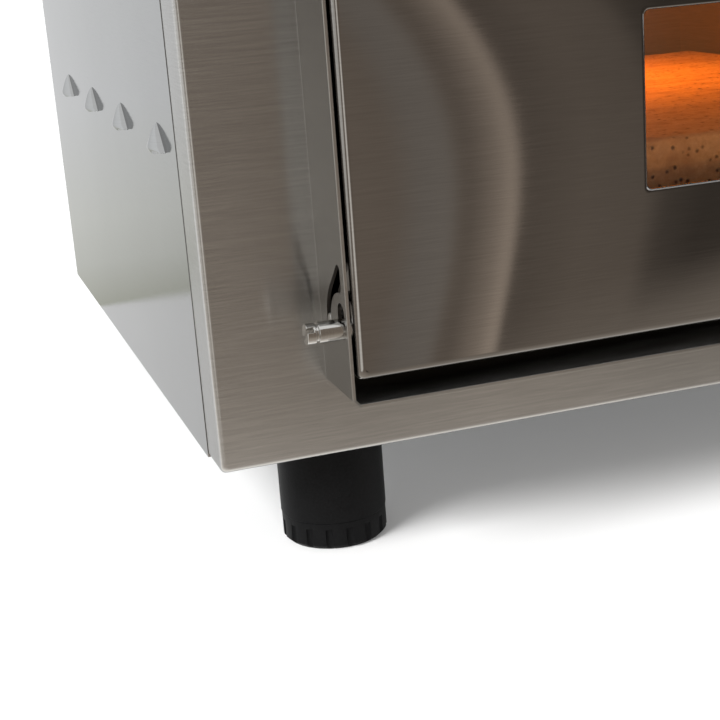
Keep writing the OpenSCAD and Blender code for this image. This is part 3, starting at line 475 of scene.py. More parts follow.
def bevelled(obj, width, angle):
    edges = obj.modifiers.new("edges", "BEVEL")
    edges.width = width * MM
    edges.segments = 2
    edges.limit_method = "ANGLE"
    edges.angle_limit = math.radians(angle)
    edges.harden_normals = True
    return baked(obj)


def softened(node, width):
    obj = merged_copy(node)
    smooth(obj.data, SOFT_ANGLE)
    in_place_of(node, bevelled(obj, width, SOFT_ANGLE))


ROUNDED = {
    "foot_sockets": 0.8, "front_left_ring": 0.3, "front_right_ring": 0.3, "rear_left_ring": 0.3,
    "rear_right_ring": 0.3, "left_hinge_pin": 0.35, "right_hinge_pin": 0.35,
    "handle_posts": 0.3, "cable_gland": 0.5, "main_switch_body": 0.5, "lamp_switch_body": 0.5,
    "main_switch_rocker": 0.5, "lamp_switch_rocker": 0.5, "top_cover": 0.4, "back_panel": 0.3,
    "base_pan": 0.4, "lamp_holder": 0.4, "mouth_frame": 0.3,
}
for node, width in ROUNDED.items():
    softened(node, width)

# %% [markdown]
# Places taken from the frame
# The outlines of the front, the door, its opening and the window are read from the boxes of the
# solids, so the finer pieces follow the CAD model when its sizes change.

# %% Places
SHEET = 1.5 * MM
SIDE_GAP, LOW_GAP, TOP_GAP = 1.5 * MM, 10 * MM, 4 * MM
panel_lo, panel_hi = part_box("front_panel")
door_lo, door_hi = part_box("door_skin")
FRONT_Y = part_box("mouth_frame")[0].y - SHEET
RETURN_RISE = 0.45 * MM
PANEL = (panel_lo.x - RETURN_RISE, panel_hi.x + RETURN_RISE, panel_lo.z, panel_hi.z)
DOOR = (door_lo.x, door_hi.x, door_lo.z, door_hi.z)
OPENING = (DOOR[0] - SIDE_GAP, DOOR[1] + SIDE_GAP, DOOR[2] - LOW_GAP, DOOR[3] + TOP_GAP)
PANE_GROW = 20 * MM
pane_lo, pane_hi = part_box("outer_glass")
WINDOW = (pane_lo.x + PANE_GROW, pane_hi.x - PANE_GROW, pane_lo.z + PANE_GROW, pane_hi.z - PANE_GROW)
BODY_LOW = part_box("base_pan")[0].z
BODY_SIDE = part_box("top_cover")[1].x + SHEET
print("opening", [round(v, 4) for v in OPENING], "window", [round(v, 4) for v in WINDOW])

# %% [markdown]
# Side panels
# A louvre is cut along its lower edge and pressed out into a scoop. The CAD solid has it as a
# cone, so the sheet is trimmed flat here and each scoop is drawn anew: a point on the panel is
# joined to a bowed rim, and the surface between them swells out.

# %% Louvre scoops
LOUVRE_FIRST, LOUVRE_PITCH, LOUVRES = 64 * MM, 98 * MM, 4
LOUVRE_YS = [FRONT_Y + LOUVRE_FIRST + i * LOUVRE_PITCH for i in range(LOUVRES)]
SCOOP_HALF, SCOOP_TOP, SCOOP_ENDS, SCOOP_LOW = 13 * MM, 147.4 * MM, 135.2 * MM, 134.0 * MM
SCOOP_OUT, SCOOP_WALL, SCOOP_SINK = 6.2 * MM, 1.2 * MM, 0.3 * MM
SCOOP_SWELL, CURL_FROM, CURL = 0.62, 0.75, 0.3
SCOOP_ACROSS, SCOOP_DOWN, SCOOP_CREASE = 40, 16, 50


def scoop_point(turn, down, y, side):
    """Point of a scoop: turn is from -90 to 90 degrees along the rim, down from 0 at the tip to 1."""
    along, bulge = math.sin(turn), math.cos(turn)
    rim_z = SCOOP_LOW + (SCOOP_ENDS - SCOOP_LOW) * along ** 4
    curl = 1 - CURL * max(0.0, (down - CURL_FROM) / (1 - CURL_FROM)) ** 2
    out = (SCOOP_OUT + SCOOP_SINK) * bulge * down ** SCOOP_SWELL * curl - SCOOP_SINK
    height = BODY_LOW + SCOOP_TOP + (rim_z - SCOOP_TOP) * down
    return side * (BODY_SIDE + out), y + along * down * SCOOP_HALF, height


def louvre_scoops(side):
    shape = bmesh.new()
    for y in LOUVRE_YS:
        tip = shape.verts.new(scoop_point(0, 0, y, side))
        rows = [[shape.verts.new(scoop_point(math.pi * (k / SCOOP_ACROSS - 0.5), j / SCOOP_DOWN, y, side))
                 for k in range(SCOOP_ACROSS + 1)] for j in range(1, SCOOP_DOWN + 1)]
        for k in range(SCOOP_ACROSS):
            faces = [(tip, rows[0][k], rows[0][k + 1])]
            faces += [(a[k], b[k], b[k + 1], a[k + 1]) for a, b in zip(rows, rows[1:])]
            for face in faces:
                shape.faces.new(face if side > 0 else tuple(reversed(face)))
    scoops = object_from(shape, "scoops", CASE_STEEL)
    wall = scoops.modifiers.new("wall", "SOLIDIFY")
    wall.thickness = SCOOP_WALL
    wall.offset = -1
    baked(scoops)
    smooth(scoops.data, SCOOP_CREASE)
    return scoops


print("louvres at", [round(y, 4) for y in LOUVRE_YS])

# %% Side panels
def prism(shape, outline, x0, x1):
    slab(shape, [(x0, y, z) for y, z in outline], [(x1, y, z) for y, z in outline])


def cut_by(obj, tool, operation="DIFFERENCE"):
    """Cuts the tool out of the object, or adds it, and removes the tool."""
    cut = obj.modifiers.new("cut", "BOOLEAN")
    cut.operation = operation
    cut.solver = "EXACT"
    cut.object = tool
    baked(obj)
    bpy.data.objects.remove(tool)


def louvre_mouths(side):
    """Prisms through the sheet, one behind each scoop."""
    shape = bmesh.new()
    half = SCOOP_HALF - 2 * SCOOP_WALL
    low, top = BODY_LOW + SCOOP_ENDS, BODY_LOW + SCOOP_TOP - 3 * SCOOP_WALL
    for y in LOUVRE_YS:
        prism(shape, [(y - half, low), (y + half, low), (y, top)],
              side * BODY_SIDE - 3 * SHEET, side * BODY_SIDE + 3 * SHEET)
    return object_from(outward(shape), "mouths", CASE_STEEL)


PLATE_SIDE, PLATE_BELOW, PLATE_ABOVE = 25 * MM, 6 * MM, 4 * MM
PANEL_CREASE, PANEL_EDGE, PANEL_EDGE_ANGLE = 20, 0.2, 60
for node, side in (("left_side_panel", -1), ("right_side_panel", 1)):
    panel = merged_copy(node)
    lo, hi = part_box(node)
    beyond = Vector((0, SCOOP_OUT, SCOOP_OUT))
    inner, outer = sorted((side * BODY_SIDE, side * (BODY_SIDE + 2 * SCOOP_OUT)))
    trim_lo, trim_hi = Vector((inner, *lo.yz)) - beyond, Vector((outer, *hi.yz)) + beyond
    cut_by(panel, bar("trim", CASE_STEEL, trim_lo, trim_hi))
    x0, x1 = sorted((side * BODY_SIDE, side * (BODY_SIDE - SHEET)))
    plate_lo = (x0, LOUVRE_YS[0] - PLATE_SIDE, BODY_LOW + SCOOP_LOW - PLATE_BELOW)
    plate_hi = (x1, LOUVRE_YS[-1] + PLATE_SIDE, BODY_LOW + SCOOP_TOP + PLATE_ABOVE)
    cut_by(panel, bar("plate", CASE_STEEL, plate_lo, plate_hi), "UNION")
    cut_by(panel, louvre_mouths(side))
    smooth(panel.data, PANEL_CREASE)
    bevelled(panel, PANEL_EDGE, PANEL_EDGE_ANGLE)
    in_place_of(node, joined(node + "_sheet", panel, louvre_scoops(side)))

# %% [markdown]
# Folded sheet
# A folded pan is a row of rounded rectangles: follow the sheet from one edge, round each bend
# and back along its other face, and bridge the rings. The skin closes on itself, so the sheet
# has its real thickness, and every bend is a true arc that catches the light.

# %% Rings and lofts
FOLD_R = 2.2 * MM
DOOR_FOLD = 3.2 * MM
BEND_R = 0.05 * MM
EDGE = 0.35 * MM
TIP = 0.12 * MM
KEEP_FLAT = 0.5 * MM
FOLD_STEPS, CORNER_STEPS, TIP_STEPS = 8, 5, 3


def ring(rect, grow, y, radius):
    """Rounded rectangle at depth y; rect is left, right, low, high and grows by grow."""
    x0, x1, z0, z1 = rect[0] - grow, rect[1] + grow, rect[2] - grow, rect[3] + grow
    centres = ((x1 - radius, z1 - radius), (x0 + radius, z1 - radius),
               (x0 + radius, z0 + radius), (x1 - radius, z0 + radius))
    points = []
    for quarter, (cx, cz) in enumerate(centres):
        for k in range(CORNER_STEPS + 1):
            a = math.pi / 2 * (quarter + k / CORNER_STEPS)
            points.append((cx + radius * math.cos(a), y, cz + radius * math.sin(a)))
    return points


def quarter_turn(steps=FOLD_STEPS):
    for k in range(steps + 1):
        a = math.pi / 2 * k / steps
        yield math.sin(a), math.cos(a)


def loft(rings):
    """Skin through closed rows, from the last row back to the first."""
    shape = bmesh.new()
    rows = [[shape.verts.new(point) for point in points] for points in rings]
    for a, b in zip(rows, rows[1:] + rows[:1]):
        bridge(shape, a, b)
    return outward(shape)


print("folds of", FOLD_R, "and", DOOR_FOLD)

# %% [markdown]
# Front panel
# One sheet makes the face, the returns round its rim and the collar that stands forward round
# the door. The collar's corners are slit so that its four flanges can be folded.

# %% Front panel
def fold_back(rect, y, outer_r, inset, radius):
    """Rings of a fold from a return to a face at depth y."""
    for s, c in quarter_turn():
        yield ring(rect, -inset - outer_r * (1 - c), y + outer_r * (1 - s), radius)


def front_panel_rings():
    y, back, front = FRONT_Y, panel_hi.y + EDGE, panel_lo.y
    rim, corner = 1.2 * MM, 2.6 * MM
    bend = SHEET + BEND_R
    yield ring(PANEL, 0, back, corner)
    yield from fold_back(PANEL, y, FOLD_R, 0, corner)
    yield ring(PANEL, -FOLD_R - KEEP_FLAT, y, rim)
    yield ring(OPENING, bend + KEEP_FLAT, y, bend)
    for s, c in quarter_turn():
        yield ring(OPENING, SHEET + BEND_R * (1 - s), y - BEND_R * (1 - c), rim + SHEET)
    yield ring(OPENING, SHEET, y - BEND_R - KEEP_FLAT, rim + SHEET)
    yield ring(OPENING, SHEET, front + TIP + KEEP_FLAT, rim + SHEET)
    for s, c in quarter_turn(TIP_STEPS):
        yield ring(OPENING, SHEET - TIP * (1 - c), front + TIP * (1 - s), rim + SHEET)
    for s, c in quarter_turn(TIP_STEPS):
        yield ring(OPENING, TIP * (1 - s), front + TIP * (1 - c), rim)
    yield ring(OPENING, 0, y - BEND_R - KEEP_FLAT, rim)
    for s, c in quarter_turn():
        yield ring(OPENING, bend * (1 - c), y - BEND_R + bend * s, rim)
    yield ring(PANEL, -FOLD_R - KEEP_FLAT, y + SHEET, rim)
    inner = list(fold_back(PANEL, y + SHEET, FOLD_R - SHEET, SHEET, corner - SHEET))
    yield from reversed(inner)
    yield ring(PANEL, -SHEET, back, corner - SHEET)


front_panel = object_from(loft(list(front_panel_rings())), "front_panel_sheet", FRONT_STEEL)
print("front panel lofted,", len(front_panel.data.polygons), "faces")

# %% [markdown]
# Hinge slots
# Each cheek has an upright seat, from which the pin lifts out when the door comes off, and a
# curved slot round it in which the stop peg runs, with an upright end for the same lift. The
# outlines are drawn on the cheek's plane, pulled into prisms and cut out with a Boolean. The
# walls of the cuts get a second, dark material: painted shade that keeps the slots black.

# %% Slot outlines
SEAT_PLAY = 0.08 * MM
SEAT_LIFT = 6.5 * MM
SLOT_W, PEG_R, PEG_PLAY = 5.6 * MM, 2.4 * MM, 0.3 * MM
SLOT_STEPS = 30
SWING = math.radians(88)
pin_lo, pin_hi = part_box("left_hinge_pin")
peg_lo, peg_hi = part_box("stop_pegs")
PIN_Y, PIN_Z = PIVOT["door_hinge"].y, PIVOT["door_hinge"].z
PIN_R = (pin_hi.z - pin_lo.z) / 2
PEG_Y, PEG_Z = (peg_lo.y + peg_hi.y) / 2, (peg_lo.z + peg_hi.z) / 2
STOP_R = math.hypot(PEG_Y - PIN_Y, PEG_Z - PIN_Z)
PEG_ANGLE = math.atan2(PEG_Z - PIN_Z, PEG_Y - PIN_Y)


def arc(centre, radius, start, end, steps=14):
    return [(centre[0] + radius * math.cos(start + (end - start) * k / steps),
             centre[1] + radius * math.sin(start + (end - start) * k / steps)) for k in range(steps + 1)]


def seat_outline():
    radius = PIN_R + SEAT_PLAY
    return (arc((PIN_Y, PIN_Z + SEAT_LIFT), radius, 0, math.pi)
            + arc((PIN_Y, PIN_Z), radius, math.pi, 2 * math.pi))


def stop_outline():
    """Arc round the pin, with an upright end so that the peg can rise when the door is lifted out."""
    pin, half = (PIN_Y, PIN_Z), SLOT_W / 2
    spare = (half - PEG_R - PEG_PLAY) / STOP_R
    start, end = PEG_ANGLE + spare, PEG_ANGLE + SWING - spare
    first = (PIN_Y + STOP_R * math.cos(start), PIN_Z + STOP_R * math.sin(start))
    last = (PIN_Y + STOP_R * math.cos(end), PIN_Z + STOP_R * math.sin(end))
    top = (last[0], last[1] + SEAT_LIFT)
    away = math.hypot(top[0] - PIN_Y, top[1] - PIN_Z)
    leave = math.atan2(top[1] - PIN_Z, top[0] - PIN_Y) - math.acos(STOP_R / away)
    return (arc(pin, STOP_R + half, start, leave, SLOT_STEPS) + arc(top, half, leave, math.pi)
            + arc(last, half, math.pi, end + math.pi)[:-1] + arc(pin, STOP_R - half, end, start, SLOT_STEPS)
            + arc(first, half, start - math.pi, start)[1:-1])


print("stop slot radius", round(STOP_R, 5), "pin radius", round(PIN_R, 5))

# %% Cut the slots and the collar's corners
RELIEF = 2 * MM
THROUGH = 3 * MM
cutter_shape = bmesh.new()
for cheek in (OPENING[0] - SHEET / 2, OPENING[1] + SHEET / 2):
    for outline in (seat_outline(), stop_outline()):
        prism(cutter_shape, outline, cheek - THROUGH, cheek + THROUGH)
slit_y0, slit_y1 = panel_lo.y - THROUGH, FRONT_Y - EDGE


def slit_ends(low, high):
    """The two stretches of a flange's length that are slit away."""
    return (low - THROUGH, low + RELIEF), (high - RELIEF, high + THROUGH)


for x0, x1 in slit_ends(OPENING[0], OPENING[1]):
    for z0, z1 in slit_ends(OPENING[2], OPENING[3]):
        prism(cutter_shape, [(slit_y0, z0), (slit_y1, z0), (slit_y1, z1), (slit_y0, z1)], x0, x1)
cut_by(front_panel, object_from(outward(cutter_shape), "slot_cutter", FRONT_STEEL))
# Painted shade: the walls of the slot cuts get the dark steel so that the slots read black.
front_panel.data.materials.append(SOOT_AND_SHADE_STEEL)
CUT_REACH = STOP_R + SEAT_LIFT + SLOT_W
for face in front_panel.data.polygons:
    across_cheek = panel_lo.y + RELIEF < face.center.y < FRONT_Y - RELIEF and abs(face.normal.x) < 0.5
    if across_cheek and math.hypot(face.center.y - PIN_Y, face.center.z - PIN_Z) < CUT_REACH:
        face.material_index = 1
FOLD_CREASE = 28.0
smooth(front_panel.data, FOLD_CREASE)
in_place_of("front_panel", front_panel)

# %% [markdown]
# Door skin
# The door's outer sheet is a shallow pan with the window cut in its face and a lip turned in
# at the back. The same rings make it, this time starting at the window's edge.

# %% Door skin
LIP = 12 * MM
WINDOW_ROLL, WINDOW_CORNER = 1.4 * MM, 2.5 * MM


def door_skin_rings():
    y, back = door_lo.y, door_hi.y
    corner = 3.0 * MM
    tight = 0.6 * MM
    for s, c in quarter_turn():
        yield ring(WINDOW, WINDOW_ROLL * (1 - c), y + WINDOW_ROLL * (1 - s), WINDOW_CORNER)
    yield ring(WINDOW, WINDOW_ROLL + KEEP_FLAT, y, WINDOW_CORNER)
    yield ring(DOOR, -DOOR_FOLD - KEEP_FLAT, y, tight)
    yield from reversed(list(fold_back(DOOR, y, DOOR_FOLD, 0, corner)))
    yield ring(DOOR, 0, y + DOOR_FOLD + KEEP_FLAT, corner)
    yield ring(DOOR, 0, back - EDGE, corner)
    yield ring(DOOR, -EDGE, back, corner)
    yield ring(DOOR, -LIP, back, tight)
    yield ring(DOOR, -LIP, back - SHEET, tight)
    yield ring(DOOR, -SHEET, back - SHEET, tight)
    yield from fold_back(DOOR, y + SHEET, DOOR_FOLD - SHEET, SHEET, tight)
    yield ring(DOOR, -DOOR_FOLD - KEEP_FLAT, y + SHEET, tight)
    yield ring(WINDOW, 0, y + SHEET, WINDOW_CORNER)


door_skin = object_from(loft(list(door_skin_rings())), "door_skin_sheet", DOOR_STEEL)
smooth(door_skin.data, FOLD_CREASE)
in_place_of("door_skin", door_skin)

# %% [markdown]
# Baking stone
# The stone is a cast slab. Its edges wear round and crumble a little, so a fine grid is pushed
# in by a noise field, most of all along the edges.

# %% Baking stone
STONE_CUTS = (150, 60, 14)
STONE_ROUND, STONE_CREASE = 2.2 * MM, 60
STONE_ROUGH = ((220.0, 0.10), (900.0, 0.08))
CRUMB_SCALE, CRUMB_FROM, CRUMB_EDGE, CRUMB_FACE = 140.0, 0.12, 0.96, 0.18
LEAST_ROUND = 0.2 * STONE_ROUND


def stone_grid(lo, hi):
    """A box whose six faces are fine grids, merged into one skin."""
    shape = bmesh.new()
    sizes = hi - lo
    for axis in range(3):
        u, v = (axis + 1) % 3, (axis + 2) % 3
        for side in (0, 1):
            grid = [[None] * (STONE_CUTS[v] + 1) for _ in range(STONE_CUTS[u] + 1)]
            for i in range(STONE_CUTS[u] + 1):
                for j in range(STONE_CUTS[v] + 1):
                    p = Vector(lo)
                    p[axis] += sizes[axis] * side
                    p[u] += sizes[u] * i / STONE_CUTS[u]
                    p[v] += sizes[v] * j / STONE_CUTS[v]
                    grid[i][j] = shape.verts.new(p)
            for i in range(STONE_CUTS[u]):
                for j in range(STONE_CUTS[v]):
                    shape.faces.new((grid[i][j], grid[i + 1][j], grid[i + 1][j + 1], grid[i][j + 1]))
    bmesh.ops.remove_doubles(shape, verts=shape.verts, dist=SAME_POINT)
    return outward(shape)


def stone_slab():
    lo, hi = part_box("baking_stone")
    shape = stone_grid(lo, hi)
    core_lo = lo + Vector((STONE_ROUND,) * 3)
    core_hi = hi - Vector((STONE_ROUND,) * 3)
    for vert in shape.verts:
        core = Vector(min(max(vert.co[k], core_lo[k]), core_hi[k]) for k in range(3))
        out = vert.co - core
        rough = sum(field.noise(vert.co * scale) * depth for scale, depth in STONE_ROUGH)
        crumb = max(0.0, field.noise(vert.co * CRUMB_SCALE) - CRUMB_FROM)
        crumb *= CRUMB_EDGE if out.length > STONE_ROUND * 1.05 else CRUMB_FACE
        reach = STONE_ROUND * (1.0 - abs(rough) - crumb)
        vert.co = core + out.normalized() * max(reach, LEAST_ROUND)
    return shape


stone = object_from(stone_slab(), "stone_slab", STONE)
smooth(stone.data, STONE_CREASE)
in_place_of("baking_stone", stone)

# %% [markdown]
# Turned pieces
# Handles, knobs and lamp bezels are turned: an outline is swept round an axis. The outline is a
# list of heights and radii, so a rounded end is just a few points on an arc.

# %% Turning
TURN_STEPS, SMALL_TURN_STEPS, ROUND_STEPS = 72, 32, 6


def turned(name, material, outline, foot, axis, steps=TURN_STEPS, crease=CREASE):
    """Sweeps (height, radius) pairs round an axis that starts at foot."""
    axis = Vector(axis).normalized()
    side = axis.orthogonal().normalized()
    other = axis.cross(side)
    shape = bmesh.new()
    rows = []
    for height, radius in outline:
        centre = Vector(foot) + axis * height
        if radius == 0:
            rows.append([shape.verts.new(centre)])
            continue
        angles = [2 * math.pi * k / steps for k in range(steps)]
        rows.append([shape.verts.new(centre + (side * math.cos(a) + other * math.sin(a)) * radius)
                     for a in angles])
    for a, b in zip(rows, rows[1:]):
        for k in range(steps):
            n = (k + 1) % steps
            corners = [a[k % len(a)], a[n % len(a)], b[n % len(b)], b[k % len(b)]]
            unique = list(dict.fromkeys(corners))
            if len(unique) > 2:
                shape.faces.new(unique)
    obj = object_from(outward(shape), name, material)
    smooth(obj.data, crease)
    return obj


def round_end(height, radius, corner):
    """Outline of a rounded rim, from the wall at radius to the face at height."""
    return [(height - corner * (1 - s), radius - corner * (1 - c)) for s, c in quarter_turn(ROUND_STEPS)]


print("turning helpers ready")

# %% Stop pegs
peg_xs = [vertex.co.x for vertex in NODES["stop_pegs"].data.vertices]
inner_ends = max(x for x in peg_xs if x < 0), min(x for x in peg_xs if x > 0)
PEG_EDGE = 0.4 * MM
pegs = []
for x0, x1 in ((peg_lo.x, inner_ends[0]), (inner_ends[1], peg_hi.x)):
    length = x1 - x0
    outline = [(0, 0), (0, PEG_R - PEG_EDGE), (PEG_EDGE, PEG_R),
               (length - PEG_EDGE, PEG_R), (length, PEG_R - PEG_EDGE), (length, 0)]
    pegs.append(turned("peg", PLATED_STEEL, outline, (x0, PEG_Y, PEG_Z), (1, 0, 0), SMALL_TURN_STEPS))
in_place_of("stop_pegs", joined("stop_pegs_turned", *pegs))

# %% Handle bar
handle_lo, handle_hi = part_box("handle_bar")
HANDLE_R = (handle_hi.z - handle_lo.z) / 2
HANDLE_LEN = handle_hi.x - handle_lo.x
HANDLE_END = 3 * MM
GROOVE_IN, GROOVE_W, GROOVE_DEEP, GROOVE_SLOPE = 12 * MM, 1.6 * MM, 0.7 * MM, 0.3 * MM


def other_end(outline):
    return [(HANDLE_LEN - h, r) for h, r in reversed(outline)]


def handle_outline():
    end = round_end(HANDLE_LEN, HANDLE_R, HANDLE_END)
    deep = HANDLE_R - GROOVE_DEEP
    groove = [(GROOVE_IN, HANDLE_R), (GROOVE_IN + GROOVE_SLOPE, deep),
              (GROOVE_IN + GROOVE_W - GROOVE_SLOPE, deep), (GROOVE_IN + GROOVE_W, HANDLE_R)]
    return [(0, 0)] + other_end(end) + groove + other_end(groove) + end + [(HANDLE_LEN, 0)]


bar_foot = (handle_lo.x, (handle_lo.y + handle_hi.y) / 2, (handle_lo.z + handle_hi.z) / 2)
in_place_of("handle_bar", turned("handle_grip", BLACK_PLASTIC, handle_outline(), bar_foot, (1, 0, 0)))

# %% [markdown]
# Geometry Nodes for what repeats
# Two small trees do all the repeating. One sets copies of a piece round a circle, for ribs and
# dial marks. The other sets a screw on every point of a mesh, turned to the point's own aim,
# with a random twist so that no two recesses line up.

# %% Ring of copies
def new_tree(name, inputs):
    tree = bpy.data.node_groups.new(name, "GeometryNodeTree")
    tree.interface.new_socket("Geometry", in_out="INPUT", socket_type="NodeSocketGeometry")
    for label, kind in inputs:
        tree.interface.new_socket(label, in_out="INPUT", socket_type="NodeSocket" + kind)
    tree.interface.new_socket("Geometry", in_out="OUTPUT", socket_type="NodeSocketGeometry")
    return tree, add(tree, "NodeGroupInput").outputs, add(tree, "NodeGroupOutput")


def finish_tree(tree, end, given, instances):
    real = add(tree, "GeometryNodeRealizeInstances", [("Geometry", instances.outputs["Instances"])])
    paint = add(tree, "GeometryNodeSetMaterial",
                [("Geometry", real.outputs["Geometry"]), ("Material", given["Finish"])])
    feed(tree, end, {"Geometry": paint.outputs["Geometry"]})
    return tree


def ring_tree():
    tree, given, end = new_tree("ring_of_copies", [
        ("Piece", "Object"), ("Count", "Int"), ("Radius", "Float"), ("Sweep", "Float"),
        ("Finish", "Material")])
    points = add(tree, "GeometryNodePoints", [("Count", given["Count"])])
    index = add(tree, "GeometryNodeInputIndex").outputs[0]
    angle = maths(tree, "MULTIPLY", maths(tree, "DIVIDE", index, given["Count"]), given["Sweep"])
    way = add(tree, "ShaderNodeCombineXYZ",
              [("X", maths(tree, "COSINE", angle, 0.0)), ("Y", maths(tree, "SINE", angle, 0.0))])
    place = add(tree, "ShaderNodeVectorMath", [(0, way.outputs[0]), ("Scale", given["Radius"])],
                operation="SCALE")
    turn_by = add(tree, "ShaderNodeCombineXYZ", [("Z", angle)])
    moved = add(tree, "GeometryNodeSetPosition",
                [("Geometry", points.outputs[0]), ("Position", place.outputs[0])])
    piece = add(tree, "GeometryNodeObjectInfo", [("Object", given["Piece"])])
    copies = add(tree, "GeometryNodeInstanceOnPoints",
                 [("Points", moved.outputs[0]), ("Instance", piece.outputs["Geometry"]),
                  ("Rotation", turn_by.outputs[0])])
    return finish_tree(tree, end, given, copies)


RING_TREE = ring_tree()


def with_tree(name, tree, mesh, values):
    """An object whose geometry comes from a tree; inputs are set by their identifiers."""
    obj = in_scene(name, mesh)
    mod = obj.modifiers.new(tree.name, "NODES")
    mod.node_group = tree
    keys = {item.name: item.identifier for item in tree.interface.items_tree if item.in_out == "INPUT"}
    for label, value in values.items():
        mod[keys[label]] = value
    return baked(obj)


def ring_of(name, piece, count, radius, sweep, material, place):
    """Bakes a ring of copies at place, a matrix whose Z is the ring's axis, and removes the piece."""
    obj = with_tree(name, RING_TREE, bpy.data.meshes.new(name), {
        "Piece": piece, "Count": count, "Radius": radius, "Sweep": sweep, "Finish": material})
    obj.data.transform(place)
    bpy.data.objects.remove(piece)
    return obj


print("ring tree ready")

# %% Facing the front
def facing(point, axis, up):
    """Matrix at point whose Z runs along axis and whose X points up."""
    z, x = Vector(axis).normalized(), Vector(up)
    return set_at(point, x, z.cross(x), z)


def box_middle(node, y):
    """Middle of a node's box in X and Z, at depth y."""
    lo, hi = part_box(node)
    return Vector(((lo.x + hi.x) / 2, y, (lo.z + hi.z) / 2))


print("placing helpers ready")

# %% [markdown]
# Knobs and dials
# A thermostat knob has a skirt, a ribbed grip and a finger bar with a white pointer. Its dial is
# printed on the panel, with one mark for each step of the turn.

# %% Knobs
KNOB_SKIRT, KNOB_GRIP, KNOB_STEP = 5 * MM, 16 * MM, 5.6 * MM
SKIRT_SLOPE, SKIRT_WALL, SKIRT_ROUND, GRIP_ROUND = 0.6 * MM, 3.5 * MM, 1.2 * MM, 1.6 * MM
FINGER_T, FINGER_ROUND = 9 * MM, 2.2 * MM
KNOB_RIBS = 36
RIB_LO = (-0.5 * MM, -0.7 * MM, KNOB_SKIRT + 1 * MM)
RIB_HI = (0.6 * MM, 0.7 * MM, KNOB_GRIP - 1.8 * MM)
RIB_ROUND = 0.3 * MM
POINTER_HALF, POINTER_FROM, POINTER_END, POINTER_SINK = 0.8 * MM, 5 * MM, 2.4 * MM, 0.3 * MM
PRINT_T = 0.12 * MM
DIAL_MARKS = 11
DIAL_SWEEP = math.radians(300)
DIAL_GAP, DIAL_MARK_LEN, DIAL_MARK_HALF = 2 * MM, 3.2 * MM, 0.45 * MM


def knob_outline(skirt_r, grip_r):
    skirt = [(0, skirt_r), (SKIRT_WALL, skirt_r - SKIRT_SLOPE)]
    skirt += round_end(KNOB_SKIRT, skirt_r - SKIRT_SLOPE, SKIRT_ROUND)
    foot = [(KNOB_SKIRT + up * MM, grip_r + out * MM) for up, out in ((0, 1.2), (0.5, 0.3), (1.2, 0))]
    return [(0, 0)] + skirt + foot + round_end(KNOB_GRIP, grip_r, GRIP_ROUND) + [(KNOB_GRIP, 0)]


def make_knob(side):
    lo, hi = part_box(side + "_knob")
    axis = box_middle(side + "_knob", hi.y)
    skirt_r = (hi.x - lo.x) / 2
    grip_r = skirt_r - KNOB_STEP
    body = side + "_control"
    grip = turned("grip", BLACK_PLASTIC, knob_outline(skirt_r, grip_r), axis, (0, -1, 0))
    finger = bar("finger", BLACK_PLASTIC, axis - Vector((FINGER_T / 2, hi.y - lo.y, grip_r)),
                 axis + Vector((FINGER_T / 2, -KNOB_SKIRT, grip_r)), FINGER_ROUND)
    knob = joined(side + "_knob_grip", grip, finger)
    smooth(knob.data, CREASE)
    in_place_of(side + "_knob", knob)
    rib = bar("rib", BLACK_PLASTIC, RIB_LO, RIB_HI, RIB_ROUND)
    ribs = ring_of(side + "_knob_ribs", rib, KNOB_RIBS, grip_r, 2 * math.pi, BLACK_PLASTIC,
                   facing(axis, (0, -1, 0), (0, 0, 1)))
    on_body(ribs, body, "black_plastic")
    pointer = bar(side + "_knob_pointer", WHITE_PRINT,
                  (axis.x - POINTER_HALF, lo.y - PRINT_T, axis.z + POINTER_FROM),
                  (axis.x + POINTER_HALF, lo.y + POINTER_SINK, axis.z + grip_r - POINTER_END))
    on_body(pointer, body, "ceramic")
    make_dial(side, axis, skirt_r)


def make_dial(side, axis, skirt_r):
    face = Vector((axis.x, FRONT_Y, axis.z))
    mark = bar("mark", DARK_PRINT, (0, -DIAL_MARK_HALF, 0), (DIAL_MARK_LEN, DIAL_MARK_HALF, PRINT_T))
    sweep = -DIAL_SWEEP * DIAL_MARKS / (DIAL_MARKS - 1)
    marks = ring_of(side + "_dial_marks", mark, DIAL_MARKS, skirt_r + DIAL_GAP, sweep, DARK_PRINT,
                    facing(face, (0, -1, 0), (0, 0, 1)))
    on_body(marks, "case", "black_plastic")


for side in ("top", "bottom"):
    make_knob(side)

# %% [markdown]
# Pilot lamps
# A pilot lamp is a black bezel that clips into the panel and an amber lens with a round top.

# %% Pilot lamps
PILOT_RIM, PILOT_LENS, PILOT_STEPS = 6.5 * MM, 4.5 * MM, 48
BEZEL_H, BEZEL_ROUND, BEZEL_FLOOR = 2 * MM, 0.7 * MM, 0.4 * MM
LENS_FOOT, LENS_WALL, LENS_CREASE = 0.3 * MM, 1 * MM, 50


def make_pilot(side):
    foot = box_middle(side + "_pilot", FRONT_Y)
    out = FRONT_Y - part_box(side + "_pilot")[0].y
    outline = [(0, PILOT_RIM)] + round_end(BEZEL_H, PILOT_RIM, BEZEL_ROUND)
    outline += [(BEZEL_H, PILOT_LENS + BEZEL_FLOOR), (BEZEL_FLOOR, PILOT_LENS),
                (BEZEL_FLOOR, 0), (0, 0), (0, PILOT_RIM)]
    bezel = turned(side + "_pilot_bezel", BLACK_PLASTIC, outline, foot, (0, -1, 0), PILOT_STEPS)
    on_body(bezel, "case", "black_plastic")
    dome = [(LENS_FOOT, 0), (LENS_FOOT, PILOT_LENS)]
    dome += [(LENS_WALL + (out - LENS_WALL) * s, PILOT_LENS * c) for s, c in quarter_turn()][:-1] + [(out, 0)]
    lens = turned(side + "_pilot_lens", LENS, dome, foot, (0, -1, 0), PILOT_STEPS, LENS_CREASE)
    in_place_of(side + "_pilot", lens)


for side in ("top", "bottom"):
    make_pilot(side)

